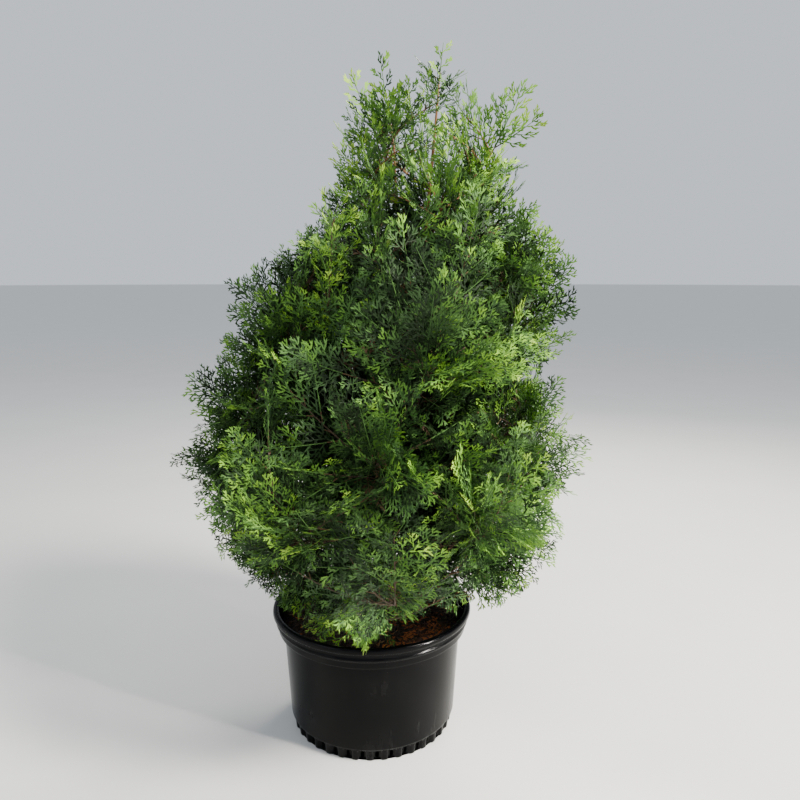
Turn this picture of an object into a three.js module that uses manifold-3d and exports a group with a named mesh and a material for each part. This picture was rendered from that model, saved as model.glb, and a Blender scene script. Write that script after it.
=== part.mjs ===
// A young thuja in a black nursery pot, as a scene graph of named meshes.
// Millimetres, +Z up. The origin is the middle of the pot's flat underside, and the plant's front is -Y.
//
// The plant is a stem that runs up through the crown, a second leader beside it near the top, rising boughs,
// and plumes of foliage. A plume is a thin stem with flat sprays all round it. A spray is the flat,
// fern-like twig of a thuja, here a thin toothed blade that is bent along its rib.
import * as THREE from "three";
import { mergeVertices } from "three/addons/utils/BufferGeometryUtils.js";
import Module from "manifold-3d";

const wasm = await Module();
wasm.setup();

// Driving dimensions, in millimetres and degrees.
const POT_HEIGHT = 277;
const RIM_RADIUS = 225;
const MOUTH_RADIUS = 211;
const WALL_TOP_RADIUS = 200;
const WALL_FOOT_RADIUS = 188;
const BASE_RADIUS = 184;
const WALL = 3;
const COLLAR_HEIGHT = 53;
const FOOT_HEIGHT = 26;
const FLUTES = 36;
const FLUTE_DEPTH = 5;
const HOLLOW_FOOT_RADIUS = BASE_RADIUS - 3 - FLUTE_DEPTH - WALL;

const SOIL_LEVEL = 242;
const SOIL_EDGE_DROP = 6;

const PLANT_TOP = 1477;
const TRUNK_FOOT = [13, 0, SOIL_LEVEL - 25];
const TRUNK_BEND = [95, 25, 800];
const TRUNK_TIP = [139, -5, 1345];
const TRUNK_RADIUS = 12.5;
const TRUNK_TIP_RADIUS = 2.2;
const ROOT_FLARE = 9;
const ROOT_FLARE_HEIGHT = 70;

const SECOND_LEADER_FROM = 905;
const SECOND_LEADER_TIP = [52, -28, 1265];
const SECOND_LEADER_RADIUS = 5;
const SECOND_LEADER_TIP_RADIUS = 2;
const BOUGH_RADIUS = 6;
const BOUGH_TIP_RADIUS = 3;
const STEM_RADIUS = 2.6;
const STEM_TIP_RADIUS = 1;

// The gap between pieces that meet, and how far foliage stays from other limbs and other plumes.
const SEAT = 0.3;
const LIMB_CLEARANCE = 7;
const PLUME_CLEARANCE = 1.5;

// The tiers of foliage from the pot up. Each plume starts at height `from`, on its bough's tip `bough` out
// from the trunk's line or on the trunk itself, and ends at height `tip`, `reach` from the tier's middle,
// which stands `middle` to the right of the pot's. `arch` is how high the plume's knee stands between the
// two, `heart` the half width of its dense core, `spray` the length of its sprays, and `sag` how far a
// spray's tip bends down (or, below zero, up).
const TIERS = [
  { name: "skirt", count: 5, turn: -92, from: 346, tip: 350, middle: 36, reach: 312, bough: 0, arch: 1.12 },
  { name: "low", count: 6, turn: -86, from: 388, tip: 496, middle: 5, reach: 415, bough: 80, arch: 0.3 },
  { name: "belly", count: 6, turn: -56, from: 478, tip: 672, middle: 15, reach: 440, bough: 85, arch: 0.25 },
  { name: "middle", count: 5, turn: -86, from: 590, tip: 852, middle: 22, reach: 385, bough: 75, arch: 0.22 },
  { name: "shoulder", count: 5, turn: -84, from: 695, tip: 1030, middle: 60, reach: 340, bough: 0, arch: 0.2 },
  { name: "upper", count: 4, turn: -28, from: 870, tip: 1165, middle: 112, reach: 232, bough: 0, arch: 0.2 },
  { name: "neck", count: 3, turn: -72, from: 1020, tip: 1305, middle: 118, reach: 190, bough: 0, arch: 0.2 },
  { name: "top", count: 2, turn: -14, from: 1180, tip: 1420, middle: 139, reach: 178, bough: 0, arch: 0.2 },
];
const HABITS = {
  skirt: { heart: 50, spray: 160, sag: 0.22, sprays: 5 },
  low: { heart: 66, spray: 180, sag: 0.26, sprays: 7 },
  belly: { heart: 70, spray: 190, sag: 0.16, sprays: 7 },
  middle: { heart: 78, spray: 190, sag: 0.06, sprays: 6 },
  shoulder: { heart: 74, spray: 185, sag: 0, sprays: 6 },
  upper: { heart: 60, spray: 165, sag: -0.06, sprays: 6 },
  neck: { heart: 42, spray: 140, sag: -0.1, sprays: 6 },
  top: { heart: 0, spray: 125, sag: -0.12, sprays: 6 },
  leader: { heart: 0, spray: 74, sag: 0, sprays: 5 },
  second: { heart: 0, spray: 114, sag: -0.1, sprays: 7 },
};
const TIER_STAGGER = 70;
const SPRAY_WIDTH = 0.5;
const SPRAY_THICKNESS = 0.02;
const GOLDEN_TURN = 137.5;
const CROWN_SEED = 20260;
const FIRST_SEED = 101;
const SEED_STEP = 37;

const DEGREE = Math.PI / 180;
const vec = (x, y, z) => new THREE.Vector3(x, y, z);
const UP = vec(0, 0, 1);

// A small repeatable random source, so that the plant comes out the same each time.
function seeded(seed) {
  let state = seed;
  return () => {
    state = (state * 16807) % 2147483647;
    return state / 2147483647;
  };
}

function solidOf(geometry) {
  const bare = new THREE.BufferGeometry().setAttribute("position", geometry.getAttribute("position"));
  bare.setIndex(geometry.index);
  const merged = mergeVertices(bare, 1e-3);
  const vertProperties = merged.getAttribute("position").array;
  const triVerts = new Uint32Array(merged.index.array);
  return new wasm.Manifold(new wasm.Mesh({ numProp: 3, vertProperties, triVerts }));
}

function geometryOf(solid) {
  const mesh = solid.getMesh();
  const geometry = new THREE.BufferGeometry();
  geometry.setAttribute("position", new THREE.BufferAttribute(new Float32Array(mesh.vertProperties), 3));
  geometry.setIndex(new THREE.BufferAttribute(new Uint32Array(mesh.triVerts), 1));
  geometry.computeVertexNormals();
  return geometry;
}

// Limbs

// A round tapering limb: a cylinder bent along a curve, with its radius given from foot to tip.
function limb(curve, radiusAt, sides, steps) {
  const geometry = new THREE.CylinderGeometry(1, 1, 1, sides, steps);
  const { normals, binormals } = curve.computeFrenetFrames(steps, false);
  const place = geometry.getAttribute("position");
  for (let i = 0; i < place.count; i++) {
    const step = Math.round((place.getY(i) + 0.5) * steps);
    const radius = radiusAt(step / steps, Math.atan2(place.getZ(i), place.getX(i)));
    const point = curve
      .getPointAt(step / steps)
      .addScaledVector(normals[step], radius * place.getZ(i))
      .addScaledVector(binormals[step], radius * place.getX(i));
    place.setXYZ(i, point.x, point.y, point.z);
  }
  return geometry;
}

const taper = (foot, tip, grown = 0) => (share) => foot + (tip - foot) * share + grown;

const trunkCurve = new THREE.QuadraticBezierCurve3(vec(...TRUNK_FOOT), vec(...TRUNK_BEND), vec(...TRUNK_TIP));

function trunkRadius(share, around = 0, grown = 0) {
  const height = share * trunkCurve.getLength();
  const flare = ROOT_FLARE * Math.max(0, 1 - height / ROOT_FLARE_HEIGHT) ** 2;
  return taper(TRUNK_RADIUS, TRUNK_TIP_RADIUS)(share) + flare * (1 + 0.35 * Math.cos(3 * around)) + grown;
}

// The point of the trunk's line at a height.
function trunkAt(height) {
  let low = 0;
  let high = 1;
  for (let i = 0; i < 30; i++) {
    const middle = (low + high) / 2;
    if (trunkCurve.getPoint(middle).z < height) low = middle;
    else high = middle;
  }
  return trunkCurve.getPoint(low);
}

const outward = (turn) => vec(Math.cos(turn), Math.sin(turn), 0);

// The second leader leaves the trunk and stands up beside it.
const secondCurve = new THREE.QuadraticBezierCurve3(
  trunkAt(SECOND_LEADER_FROM),
  trunkAt(SECOND_LEADER_FROM + 90).add(vec(-46, -24, 0)),
  vec(...SECOND_LEADER_TIP),
);

// Plumes: where each starts and ends, and how it bends between

// How far short of the plume's tip its stem stops, as a share of a spray's length.
const STEM_STOPS = 0.94;

function planPlume(name, start, knee, tip, habit, bough) {
  const tipWay = tip.clone().sub(knee).normalize();
  const stemEnd = tip.clone().addScaledVector(tipWay, -STEM_STOPS * habit.spray);
  return { name, habit, bough, curve: new THREE.QuadraticBezierCurve3(start, knee, stemEnd), tip };
}

function planCrown() {
  const random = seeded(CROWN_SEED);
  const plumes = [];
  for (const tier of TIERS) {
    for (let i = 0; i < tier.count; i++) {
      const turn = (tier.turn + (360 * i) / tier.count + 16 * (random() - 0.5)) * DEGREE;
      const lift = TIER_STAGGER * (((i * 0.618) % 1) - 0.45);
      const from = tier.from + lift;
      const reach = tier.reach * (0.96 + 0.1 * random());
      const out = outward(turn);
      const tip = vec(tier.middle, 0, tier.tip + lift).addScaledVector(out, reach);
      const start = trunkAt(from).addScaledVector(out, tier.bough);
      const knee = start.clone().lerp(tip, 0.55).setZ(start.z + tier.arch * (tip.z - start.z));
      let bough = null;
      if (tier.bough) {
        const foot = trunkAt(from - 0.5 * tier.bough);
        const plumeWay = knee.clone().sub(start).normalize();
        const boughKnee = start.clone().addScaledVector(plumeWay, -0.5 * tier.bough);
        const curve = new THREE.QuadraticBezierCurve3(foot, boughKnee, start.clone());
        bough = { name: `bough_${tier.name}_${i + 1}`, curve };
        start.addScaledVector(curve.getTangent(1), SEAT);
      }
      plumes.push(planPlume(`foliage_${tier.name}_${i + 1}`, start, knee, tip, HABITS[tier.name], bough));
    }
  }
  return plumes;
}

// The plumes on the tips of the trunk and the second leader, and one on its side, stand straight.
function planLeaders() {
  const straight = (name, start, way, length, habit) => {
    const point = (share) => start.clone().addScaledVector(way, share * length);
    return planPlume(name, point(SEAT / length), point(0.2), point(1), habit);
  };
  const leaderWay = trunkCurve.getTangent(1);
  const leaderLength = (PLANT_TOP - TRUNK_TIP[2]) / leaderWay.z;
  const secondWay = secondCurve.getTangent(1).add(vec(-0.12, 0, 0)).normalize();
  const sideWay = vec(-0.62, -0.2, 0.76).normalize();
  return [
    straight("foliage_leader", trunkCurve.getPoint(1), leaderWay, leaderLength, HABITS.leader),
    straight("foliage_second_leader_1", secondCurve.getPoint(1), secondWay, 168, HABITS.second),
    straight("foliage_second_leader_2", secondCurve.getPoint(0.78), sideWay, 190, HABITS.second),
  ];
}

const plumes = [...planCrown(), ...planLeaders()];
const boughs = plumes.filter((plume) => plume.bough).map((plume) => plume.bough);

// Keeping foliage in its own space

// Every limb as a chain of straight pieces with a radius, for measuring how near a spray comes.
function chainOf(curve, radiusAt, pieces, owner) {
  const points = curve.getPoints(pieces);
  return points.slice(1).map((to, i) => ({ from: points[i], to, radius: radiusAt(i / pieces), owner }));
}

const limbPieces = [
  ...chainOf(trunkCurve, trunkRadius, 12, "trunk"),
  ...chainOf(secondCurve, taper(SECOND_LEADER_RADIUS, SECOND_LEADER_TIP_RADIUS), 6, "second_leader"),
  ...boughs.flatMap((bough) => chainOf(bough.curve, taper(BOUGH_RADIUS, BOUGH_TIP_RADIUS), 4, bough.name)),
  ...plumes.flatMap((plume) => chainOf(plume.curve, taper(STEM_RADIUS, STEM_TIP_RADIUS), 3, plume.name)),
];

// The least distance between two straight pieces.
function distanceBetween(a, b, c, d) {
  const first = b.clone().sub(a);
  const second = d.clone().sub(c);
  const between = a.clone().sub(c);
  const [uu, uv, vv] = [first.dot(first), first.dot(second), second.dot(second)];
  const [uw, vw] = [first.dot(between), second.dot(between)];
  const clamp = (x) => Math.min(1, Math.max(0, x));
  const across = uu * vv - uv * uv;
  let s = across > 1e-6 ? clamp((uv * vw - vv * uw) / across) : 0;
  const t = clamp((uv * s + vw) / vv);
  s = clamp((uv * t - uw) / uu);
  return a.clone().addScaledVector(first, s).distanceTo(c.clone().addScaledVector(second, t));
}

// Foliage hangs over the pot's rim and above its soil, and stays this far from both. It hangs no lower
// than the hem, but for one tuft that falls over the rim at the front.
const POT_CLEARANCE = 5;
const HEM = 288;
const TUFT_HEM = 262;
const TUFT_FROM = -104;
const TUFT_TO = -74;

function nearPot(point) {
  const out = Math.hypot(point.x, point.y);
  const overSoil = out < MOUTH_RADIUS - 2 * POT_CLEARANCE && point.z > SOIL_LEVEL + POT_CLEARANCE;
  return point.z < POT_HEIGHT + POT_CLEARANCE && out < RIM_RADIUS + POT_CLEARANCE && !overSoil;
}

function belowHem(point) {
  const turn = Math.atan2(point.y, point.x) / DEGREE;
  const hem = turn > TUFT_FROM && turn < TUFT_TO ? TUFT_HEM : HEM;
  return point.z < hem && Math.hypot(point.x, point.y) > MOUTH_RADIUS;
}

// A plume's space is all that lies nearer to its own line than to any other plume's.
const lineOf = (plume) => [...plume.curve.getPoints(3), plume.tip];
const plumeLines = new Map(plumes.map((plume) => [plume, lineOf(plume)]));

function distanceToLine(point, line) {
  const nearest = new THREE.Vector3();
  const stretch = new THREE.Line3();
  let least = Infinity;
  for (let i = 1; i < line.length; i++) {
    stretch.set(line[i - 1], line[i]).closestPointToPoint(point, true, nearest);
    least = Math.min(least, nearest.distanceTo(point));
  }
  return least;
}

function inOwnSpace(point, plume) {
  const own = distanceToLine(point, plumeLines.get(plume)) + 2 * PLUME_CLEARANCE;
  return plumes.every((other) => other === plume || distanceToLine(point, plumeLines.get(other)) > own);
}

const clearAt = (point, plume) => inOwnSpace(point, plume) && !nearPot(point) && !belowHem(point);

function fits(spray, plume) {
  const { rib, teeth } = sprayPoints(spray);
  const lines = [[rib[0], rib[2]], [rib[2], rib[3]], ...teeth.map((tooth) => [rib[tooth.from], tooth.tip])];
  const quarters = ([from, to]) => [0.25, 0.5, 0.75, 1].map((share) => from.clone().lerp(to, share));
  const clearOf = (piece, [from, to]) =>
    distanceBetween(from, to, piece.from, piece.to) > piece.radius + LIMB_CLEARANCE;
  return (
    lines.flatMap(quarters).every((point) => clearAt(point, plume) && point.z <= PLANT_TOP) &&
    limbPieces.every((piece) => piece.owner === plume.name || lines.every((line) => clearOf(piece, line)))
  );
}

// Sprays

// Places along the blade, as shares of its length: the points of its rib, of which the middle two are its
// thickest, and the notches beside the rib. A tooth starts at rib point `from` and its tip lies `along` the
// blade and `across` it, as a share of the half width.
const RIB_AT = [0, 0.3, 0.62, 1];
const NOTCH_AT = [0.45, 0.76];
const TEETH = [
  { from: 0, along: 0.58, across: 1 },
  { from: 1, along: 0.87, across: 0.8 },
];
const NOTCH_ACROSS = 0.2;
const FOOT_ACROSS = 0.06;
const STAGGER = 0.025;

// Where the rib, the notches and the teeth's tips are. The rib bends by `bend`, and one side's teeth stand a
// little higher than the other's.
function sprayPoints({ root, along, face, length, bend }) {
  const side = vec(0, 0, 0).crossVectors(face, along).normalize();
  const halfWidth = (SPRAY_WIDTH * length) / 2;
  const at = (share) =>
    root.clone().addScaledVector(along, share * length).addScaledVector(bend, share * share * length);
  const teeth = [-1, 1].flatMap((hand) =>
    TEETH.map(({ from, along: share, across }) => ({
      from,
      hand,
      tip: at(share + hand * STAGGER).addScaledVector(side, hand * across * halfWidth),
    })),
  );
  return { rib: RIB_AT.map(at), notches: NOTCH_AT.map(at), teeth, side, halfWidth };
}

function spraySolid(spray) {
  const { rib, notches, teeth, side, halfWidth } = sprayPoints(spray);
  const half = (SPRAY_THICKNESS * spray.length) / 2;
  const points = [];
  const put = (point, way, by) => points.push(...point.clone().addScaledVector(way, by)) / 3 - 1;
  const tip = put(rib[3], side, 0);
  const edges = [-1, 1].map((hand) => {
    const foot = put(rib[0], side, hand * FOOT_ACROSS * halfWidth);
    const tips = teeth.filter((tooth) => tooth.hand === hand).map((tooth) => put(tooth.tip, side, 0));
    const inner = notches.map((notch) => put(notch, side, hand * NOTCH_ACROSS * halfWidth));
    return [foot, tips[0], inner[0], tips[1], inner[1], tip];
  });
  const faces = [];
  for (const up of [1, -1]) {
    const ridge = [1, 2].map((i) => put(rib[i], spray.face, up * half));
    const face = (hand, a, b, c) => faces.push(...(hand * up < 0 ? [a, b, c] : [a, c, b]));
    [-1, 1].forEach((hand, i) => {
      const edge = edges[i];
      face(hand, ridge[0], edge[0], edge[1]);
      face(hand, ridge[0], edge[1], edge[2]);
      face(hand, ridge[0], edge[2], ridge[1]);
      face(hand, ridge[1], edge[2], edge[3]);
      face(hand, ridge[1], edge[3], edge[4]);
      face(hand, ridge[1], edge[4], edge[5]);
    });
    face(1, ridge[0], edges[0][0], edges[1][0]);
  }
  const geometry = new THREE.BufferGeometry();
  geometry.setAttribute("position", new THREE.Float32BufferAttribute(points, 3));
  geometry.setIndex(faces);
  return solidOf(geometry);
}

// A plume's stem swells into its dense heart, a pleated spindle that is drawn in wherever it would leave the
// plume's space. The stem's rings stand at these shares of its length, with this much of the heart's width.
const STEM_RINGS = [
  { at: 0, swell: 0 },
  { at: 0.07, swell: 0 },
  { at: 0.26, swell: 0.82 },
  { at: 0.5, swell: 1 },
  { at: 0.76, swell: 0.8 },
  { at: 1, swell: 0 },
];
const STEM_SIDES = 6;
const PLEAT = 0.5;

// How wide the heart is at a share of the stem, towards one side, before its pleats.
function heartReach(plume, share, off) {
  const next = Math.max(1, STEM_RINGS.findIndex((ring) => ring.at >= share));
  const [low, high] = [STEM_RINGS[next - 1], STEM_RINGS[next]];
  const swell = low.swell + ((high.swell - low.swell) * (share - low.at)) / (high.at - low.at);
  const wide = swell * plume.habit.heart;
  const middle = plume.curve.getPoint(share);
  let kept = 1;
  while (kept > 0.1 && !clearAt(middle.clone().addScaledVector(off, kept * wide), plume)) kept -= 0.05;
  return kept * wide;
}

// Two directions square to the stem and to each other.
function frameAt(curve, share) {
  const way = curve.getTangent(share);
  const side = vec(0, 0, 0).crossVectors(way, vec(1, 0.3, 0.1)).normalize();
  return { way, side, front: vec(0, 0, 0).crossVectors(side, way) };
}

function stemSolid(plume, random) {
  if (!plume.habit.heart) return solidOf(limb(plume.curve, taper(STEM_RADIUS, STEM_TIP_RADIUS), 3, 3));
  const steps = STEM_RINGS.length - 1;
  const geometry = new THREE.CylinderGeometry(1, 1, 1, STEM_SIDES, steps);
  const place = geometry.getAttribute("position");
  const bumps = Array.from({ length: STEM_SIDES * (steps + 1) }, () => 0.85 + 0.4 * random());
  for (let i = 0; i < place.count; i++) {
    const step = Math.round((place.getY(i) + 0.5) * steps);
    const turn = Math.atan2(place.getX(i), place.getZ(i));
    const sector = Math.round((turn / (2 * Math.PI)) * STEM_SIDES + STEM_SIDES) % STEM_SIDES;
    const { side, front } = frameAt(plume.curve, STEM_RINGS[step].at);
    const off = front.multiplyScalar(Math.cos(turn)).addScaledVector(side, Math.sin(turn));
    const pleat = (sector + step) % 2 ? PLEAT : 1;
    const swollen = pleat * bumps[step * STEM_SIDES + sector] * heartReach(plume, STEM_RINGS[step].at, off);
    const inCap = Math.hypot(place.getX(i), place.getZ(i)) < 0.5;
    const width = inCap ? 0 : Math.max(swollen, step === steps ? STEM_TIP_RADIUS : STEM_RADIUS);
    const point = plume.curve.getPoint(STEM_RINGS[step].at).addScaledVector(off, width);
    place.setXYZ(i, point.x, point.y, point.z);
  }
  return solidOf(geometry);
}

// The sprays of one plume: one at the tip, and the others round the stem by the golden turn, rooted inside
// its heart. One that would leave the plume's space or touch a limb is turned aside and shortened a few
// times, and then left out.
const ROOT_IN_HEART = 0.3;
const ROOT_SUNK = 1.2;
const SPRAYS_FROM = 0.14;
const SPRAYS_TO = 0.92;
const TIP_SPRAY_AT = 0.93;
const SPLAY = 44;
const TURN_ASIDE = 31;

function spraysOf(plume, seed) {
  const random = seeded(seed);
  const { habit, curve } = plume;
  const bend = vec(0, 0, -habit.sag);
  const sprays = [];
  const count = habit.sprays;
  for (let i = 0; i < count; i++) {
    const atTip = i === count - 1;
    const share = atTip ? TIP_SPRAY_AT : SPRAYS_FROM + ((SPRAYS_TO - SPRAYS_FROM) * i) / (count - 2);
    const { way, side } = frameAt(curve, share);
    const splay = (atTip ? 2 : SPLAY + 14 * random()) * DEGREE;
    const roll = (GOLDEN_TURN * i + 24 * random()) * DEGREE;
    const twist = 70 * (random() - 0.5) * DEGREE;
    const length = habit.spray * (atTip ? 1 : 0.86 + 0.24 * random() - 0.12 * share);
    const shortenings = atTip ? [1, 0.85, 0.7] : [1, 0.9, 0.8, 0.7, 0.6, 0.5];
    for (const [attempt, shorter] of shortenings.entries()) {
      const turn = roll + (atTip ? 0 : attempt * TURN_ASIDE * DEGREE);
      const off = side.clone().applyAxisAngle(way, turn);
      const along = way.clone().multiplyScalar(Math.cos(splay)).addScaledVector(off, Math.sin(splay));
      const lie = vec(0, 0, 0).crossVectors(way, off).normalize().applyAxisAngle(along, twist);
      const face = vec(0, 0, 0).crossVectors(along, lie).normalize();
      const sunk = atTip ? 0 : ROOT_IN_HEART * heartReach(plume, share, off);
      const root = curve.getPoint(share).addScaledVector(off, sunk).addScaledVector(along, -ROOT_SUNK);
      const spray = { root, along, face, length: length * shorter, bend };
      if (fits(spray, plume)) {
        sprays.push(spray);
        break;
      }
    }
  }
  return sprays;
}

// The plume as one solid, cut clear of the limbs, with any loose scrap dropped.
function plumeSolid(plume, seed, keptClear) {
  const stem = stemSolid(plume, seeded(seed + 7));
  let solid = spraysOf(plume, seed).reduce((joined, spray) => joined.add(spraySolid(spray)), stem);
  for (const other of keptClear) solid = solid.subtract(other);
  const pieces = solid.decompose();
  return pieces.reduce((largest, piece) => (piece.volume() > largest.volume() ? piece : largest));
}

// The pot and what fills it

function potGeometry() {
  const collarFoot = POT_HEIGHT - COLLAR_HEIGHT;
  const outline = [
    [0, 0],
    [BASE_RADIUS - 3, 0],
    [BASE_RADIUS, FOOT_HEIGHT],
    [WALL_FOOT_RADIUS, FOOT_HEIGHT + 3],
    [WALL_TOP_RADIUS, collarFoot],
    [RIM_RADIUS - 12, collarFoot + 5],
    [RIM_RADIUS - 12, collarFoot + 20],
    [RIM_RADIUS - 6, collarFoot + 24],
    [RIM_RADIUS - 8, POT_HEIGHT - 17],
    [RIM_RADIUS, POT_HEIGHT - 14],
    [RIM_RADIUS - 1, POT_HEIGHT - 2],
    [RIM_RADIUS - 7, POT_HEIGHT],
    [MOUTH_RADIUS, POT_HEIGHT - 3],
    [MOUTH_RADIUS - 2, collarFoot + 4],
    [WALL_TOP_RADIUS - WALL, collarFoot - 1],
    [HOLLOW_FOOT_RADIUS, WALL + 1],
    [0, WALL + 1],
  ].map(([radius, height]) => new THREE.Vector2(radius, height));
  const geometry = new THREE.LatheGeometry(outline, 2 * FLUTES);
  const place = geometry.getAttribute("position");
  for (let i = 0; i < place.count; i++) {
    const [across, height, depth] = [place.getX(i), place.getY(i), place.getZ(i)];
    const radius = Math.hypot(across, depth);
    const valley = Math.round((Math.atan2(depth, across) / Math.PI) * FLUTES) % 2 !== 0;
    const fluted = valley && height <= FOOT_HEIGHT && radius > BASE_RADIUS - 4;
    const shrunk = fluted ? (radius - FLUTE_DEPTH) / radius : 1;
    place.setXYZ(i, across * shrunk, -depth * shrunk, height);
  }
  return geometry;
}

function soilGeometry() {
  const edge = WALL_TOP_RADIUS - WALL - SEAT - 1;
  const foot = HOLLOW_FOOT_RADIUS - SEAT - 1;
  const collar = POT_HEIGHT - COLLAR_HEIGHT;
  const outline = [
    [0, WALL + 1 + SEAT],
    [foot, WALL + 1 + SEAT],
    [edge, collar],
    [MOUTH_RADIUS - 4, collar + 10],
    [MOUTH_RADIUS - 4, SOIL_LEVEL - SOIL_EDGE_DROP],
    [120, SOIL_LEVEL - 2],
    [52, SOIL_LEVEL],
    [0, SOIL_LEVEL],
  ].map(([radius, height]) => new THREE.Vector2(radius, height));
  const geometry = new THREE.LatheGeometry(outline, 36);
  return geometry.rotateX(Math.PI / 2);
}

// Finishes and assembly

const plastic = new THREE.MeshStandardMaterial({ color: 0x17181a, roughness: 0.42, metalness: 0 });
const soil = new THREE.MeshStandardMaterial({ color: 0x2c1d14, roughness: 0.95, metalness: 0 });
const bark = new THREE.MeshStandardMaterial({ color: 0x7a5236, roughness: 0.85, metalness: 0 });
const foliage = new THREE.MeshStandardMaterial({ color: 0x3f7a26, roughness: 0.6, metalness: 0 });

const plant = new THREE.Group();

function addPiece(name, geometry, material) {
  const mesh = new THREE.Mesh(geometry, material);
  mesh.name = name;
  plant.add(mesh);
}

// The trunk's line starts below the soil, and the block below it gives the trunk its flat cut at soil level.
const belowSoil = new THREE.BoxGeometry(200, 200, 100).translate(0, 0, SOIL_LEVEL + SEAT - 50);
const trunkGeometry = geometryOf(solidOf(limb(trunkCurve, trunkRadius, 8, 14)).subtract(solidOf(belowSoil)));

// A limb's sheath is the limb grown by the gap, which cuts its neighbours clear of it.
const GROWN = 1.2 * SEAT;
const trunkSheath = solidOf(limb(trunkCurve, (share, around) => trunkRadius(share, around, GROWN), 8, 14));
const secondLeader = (grown) =>
  limb(secondCurve, taper(SECOND_LEADER_RADIUS, SECOND_LEADER_TIP_RADIUS, grown), 6, 6);
const boughLimb = (bough, grown) => limb(bough.curve, taper(BOUGH_RADIUS, BOUGH_TIP_RADIUS, grown), 5, 3);
const boughSheaths = boughs.map((bough) => solidOf(boughLimb(bough, GROWN)));
const sheaths = [trunkSheath, solidOf(secondLeader(GROWN)), ...boughSheaths];

addPiece("pot", potGeometry(), plastic);
addPiece("potting_mix", soilGeometry(), soil);
addPiece("trunk", trunkGeometry, bark);
addPiece("second_leader", geometryOf(solidOf(secondLeader(0)).subtract(trunkSheath)), bark);
for (const bough of boughs) {
  addPiece(bough.name, geometryOf(solidOf(boughLimb(bough, 0)).subtract(trunkSheath)), bark);
}
plumes.forEach((plume, i) => {
  addPiece(plume.name, geometryOf(plumeSolid(plume, FIRST_SEED + SEED_STEP * i, sheaths)), foliage);
});

export default plant;
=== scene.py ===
import math

import bpy
import numpy as np
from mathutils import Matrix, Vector, noise


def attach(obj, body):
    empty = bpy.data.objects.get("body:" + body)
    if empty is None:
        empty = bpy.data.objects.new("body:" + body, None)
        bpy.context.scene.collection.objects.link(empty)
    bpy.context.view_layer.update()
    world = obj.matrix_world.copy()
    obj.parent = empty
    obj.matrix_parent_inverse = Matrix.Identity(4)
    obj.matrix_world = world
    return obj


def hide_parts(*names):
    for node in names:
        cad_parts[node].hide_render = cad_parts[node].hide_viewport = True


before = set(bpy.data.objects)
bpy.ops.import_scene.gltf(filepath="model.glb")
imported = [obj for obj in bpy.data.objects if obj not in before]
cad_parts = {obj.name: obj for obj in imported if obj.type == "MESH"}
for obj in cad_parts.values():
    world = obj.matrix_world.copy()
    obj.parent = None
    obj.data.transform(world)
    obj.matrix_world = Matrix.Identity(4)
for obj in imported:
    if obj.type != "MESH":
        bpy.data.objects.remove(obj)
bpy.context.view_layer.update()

# Nursery pot
# A wide nursery container, blow-moulded in one piece from black polyethylene. A rolled lip and two ledges
# stiffen its mouth, and its foot is fluted, with a drainage slot through the wall in each flute.
MM = 0.001
RIM_HEIGHT, RIM_RADIUS, MOUTH_RADIUS = 277, 225, 211
FOOT_RADIUS, FOOT_SPREAD, FOOT_TOP = 181, 3, 25.0
FLUTES, FLUTE_STEPS, FLUTE_RADIUS = 36, 10, 183
FLUTE_DEPTH, FLUTE_HALF_WIDTH, FLUTE_SLOPE, FLUTE_SHOULDER = 6.5, 11.0, 5.0, 20.0
SLOT_RINGS = [7.0, 10.5, 14.0, 17.5]
SLOT_HALF_STEPS = 1
FOOT_RINGS = [3.0, *SLOT_RINGS, 20.0, 22.0, 23.5]
OUTER_FACE_FROM = 178
LONG_SIDE, RING_GAP, CURVE_SHARE = 20, 2, 0.42

# The outline from the middle of the underside, up the outside, over the lip and down the inside: each
# corner's radius, height and rounding, in millimetres.
POT_OUTSIDE = [(0, 3, 0), (150, 3, 2), (156, 0, 2), (FOOT_RADIUS, 0, 1.5)]
POT_WALL = [(FOOT_RADIUS + FOOT_SPREAD, FOOT_TOP, 0.8), (188, 29, 2.5), (200, 223, 3), (213, 228, 2.5)]
POT_LIP = [(213.5, 243, 2.5), (219.5, 247, 3), (216.5, 254.5, 3), (217, 260, 2), (222.5, 262, 2.5)]
POT_MOUTH = [(RIM_RADIUS, 266, 4), (224, 275, 4), (218, RIM_HEIGHT, 3), (MOUTH_RADIUS, 274.5, 3)]
POT_INSIDE = [(209, 228, 3), (197, 222, 3)]
POT_INSIDE_FOOT = (173, 4)


def rounded(corners):
    """The outline with each corner cut to a small curve, and a ring held close to either side of it."""
    points = [corners[0][:2]]
    for before, corner, after in zip(corners, corners[1:], corners[2:]):
        here = np.array(corner[:2], float)
        ways = [np.array(other[:2], float) - here for other in (before, after)]
        spans = [np.linalg.norm(way) for way in ways]
        ends = [here + way / span * min(corner[2], CURVE_SHARE * span) for way, span in zip(ways, spans)]
        for share in (0, 0.33, 0.67, 1):
            curved = (1 - share) ** 2 * ends[0] + 2 * share * (1 - share) * here + share**2 * ends[1]
            points.append(tuple(curved))
        if spans[1] > LONG_SIDE:
            points.append(tuple(ends[1] + ways[1] / spans[1] * RING_GAP))
            points.append(tuple(np.array(after[:2], float) - ways[1] / spans[1] * (after[2] + RING_GAP)))
    return points + [corners[-1][:2]]


def inside_radius(height):
    """The radius of the pot's inner wall at a height, in millimetres."""
    top, foot = POT_INSIDE[-1], POT_INSIDE_FOOT
    return foot[0] + (top[0] - foot[0]) * (height - foot[1]) / (top[1] - foot[1])


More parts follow.
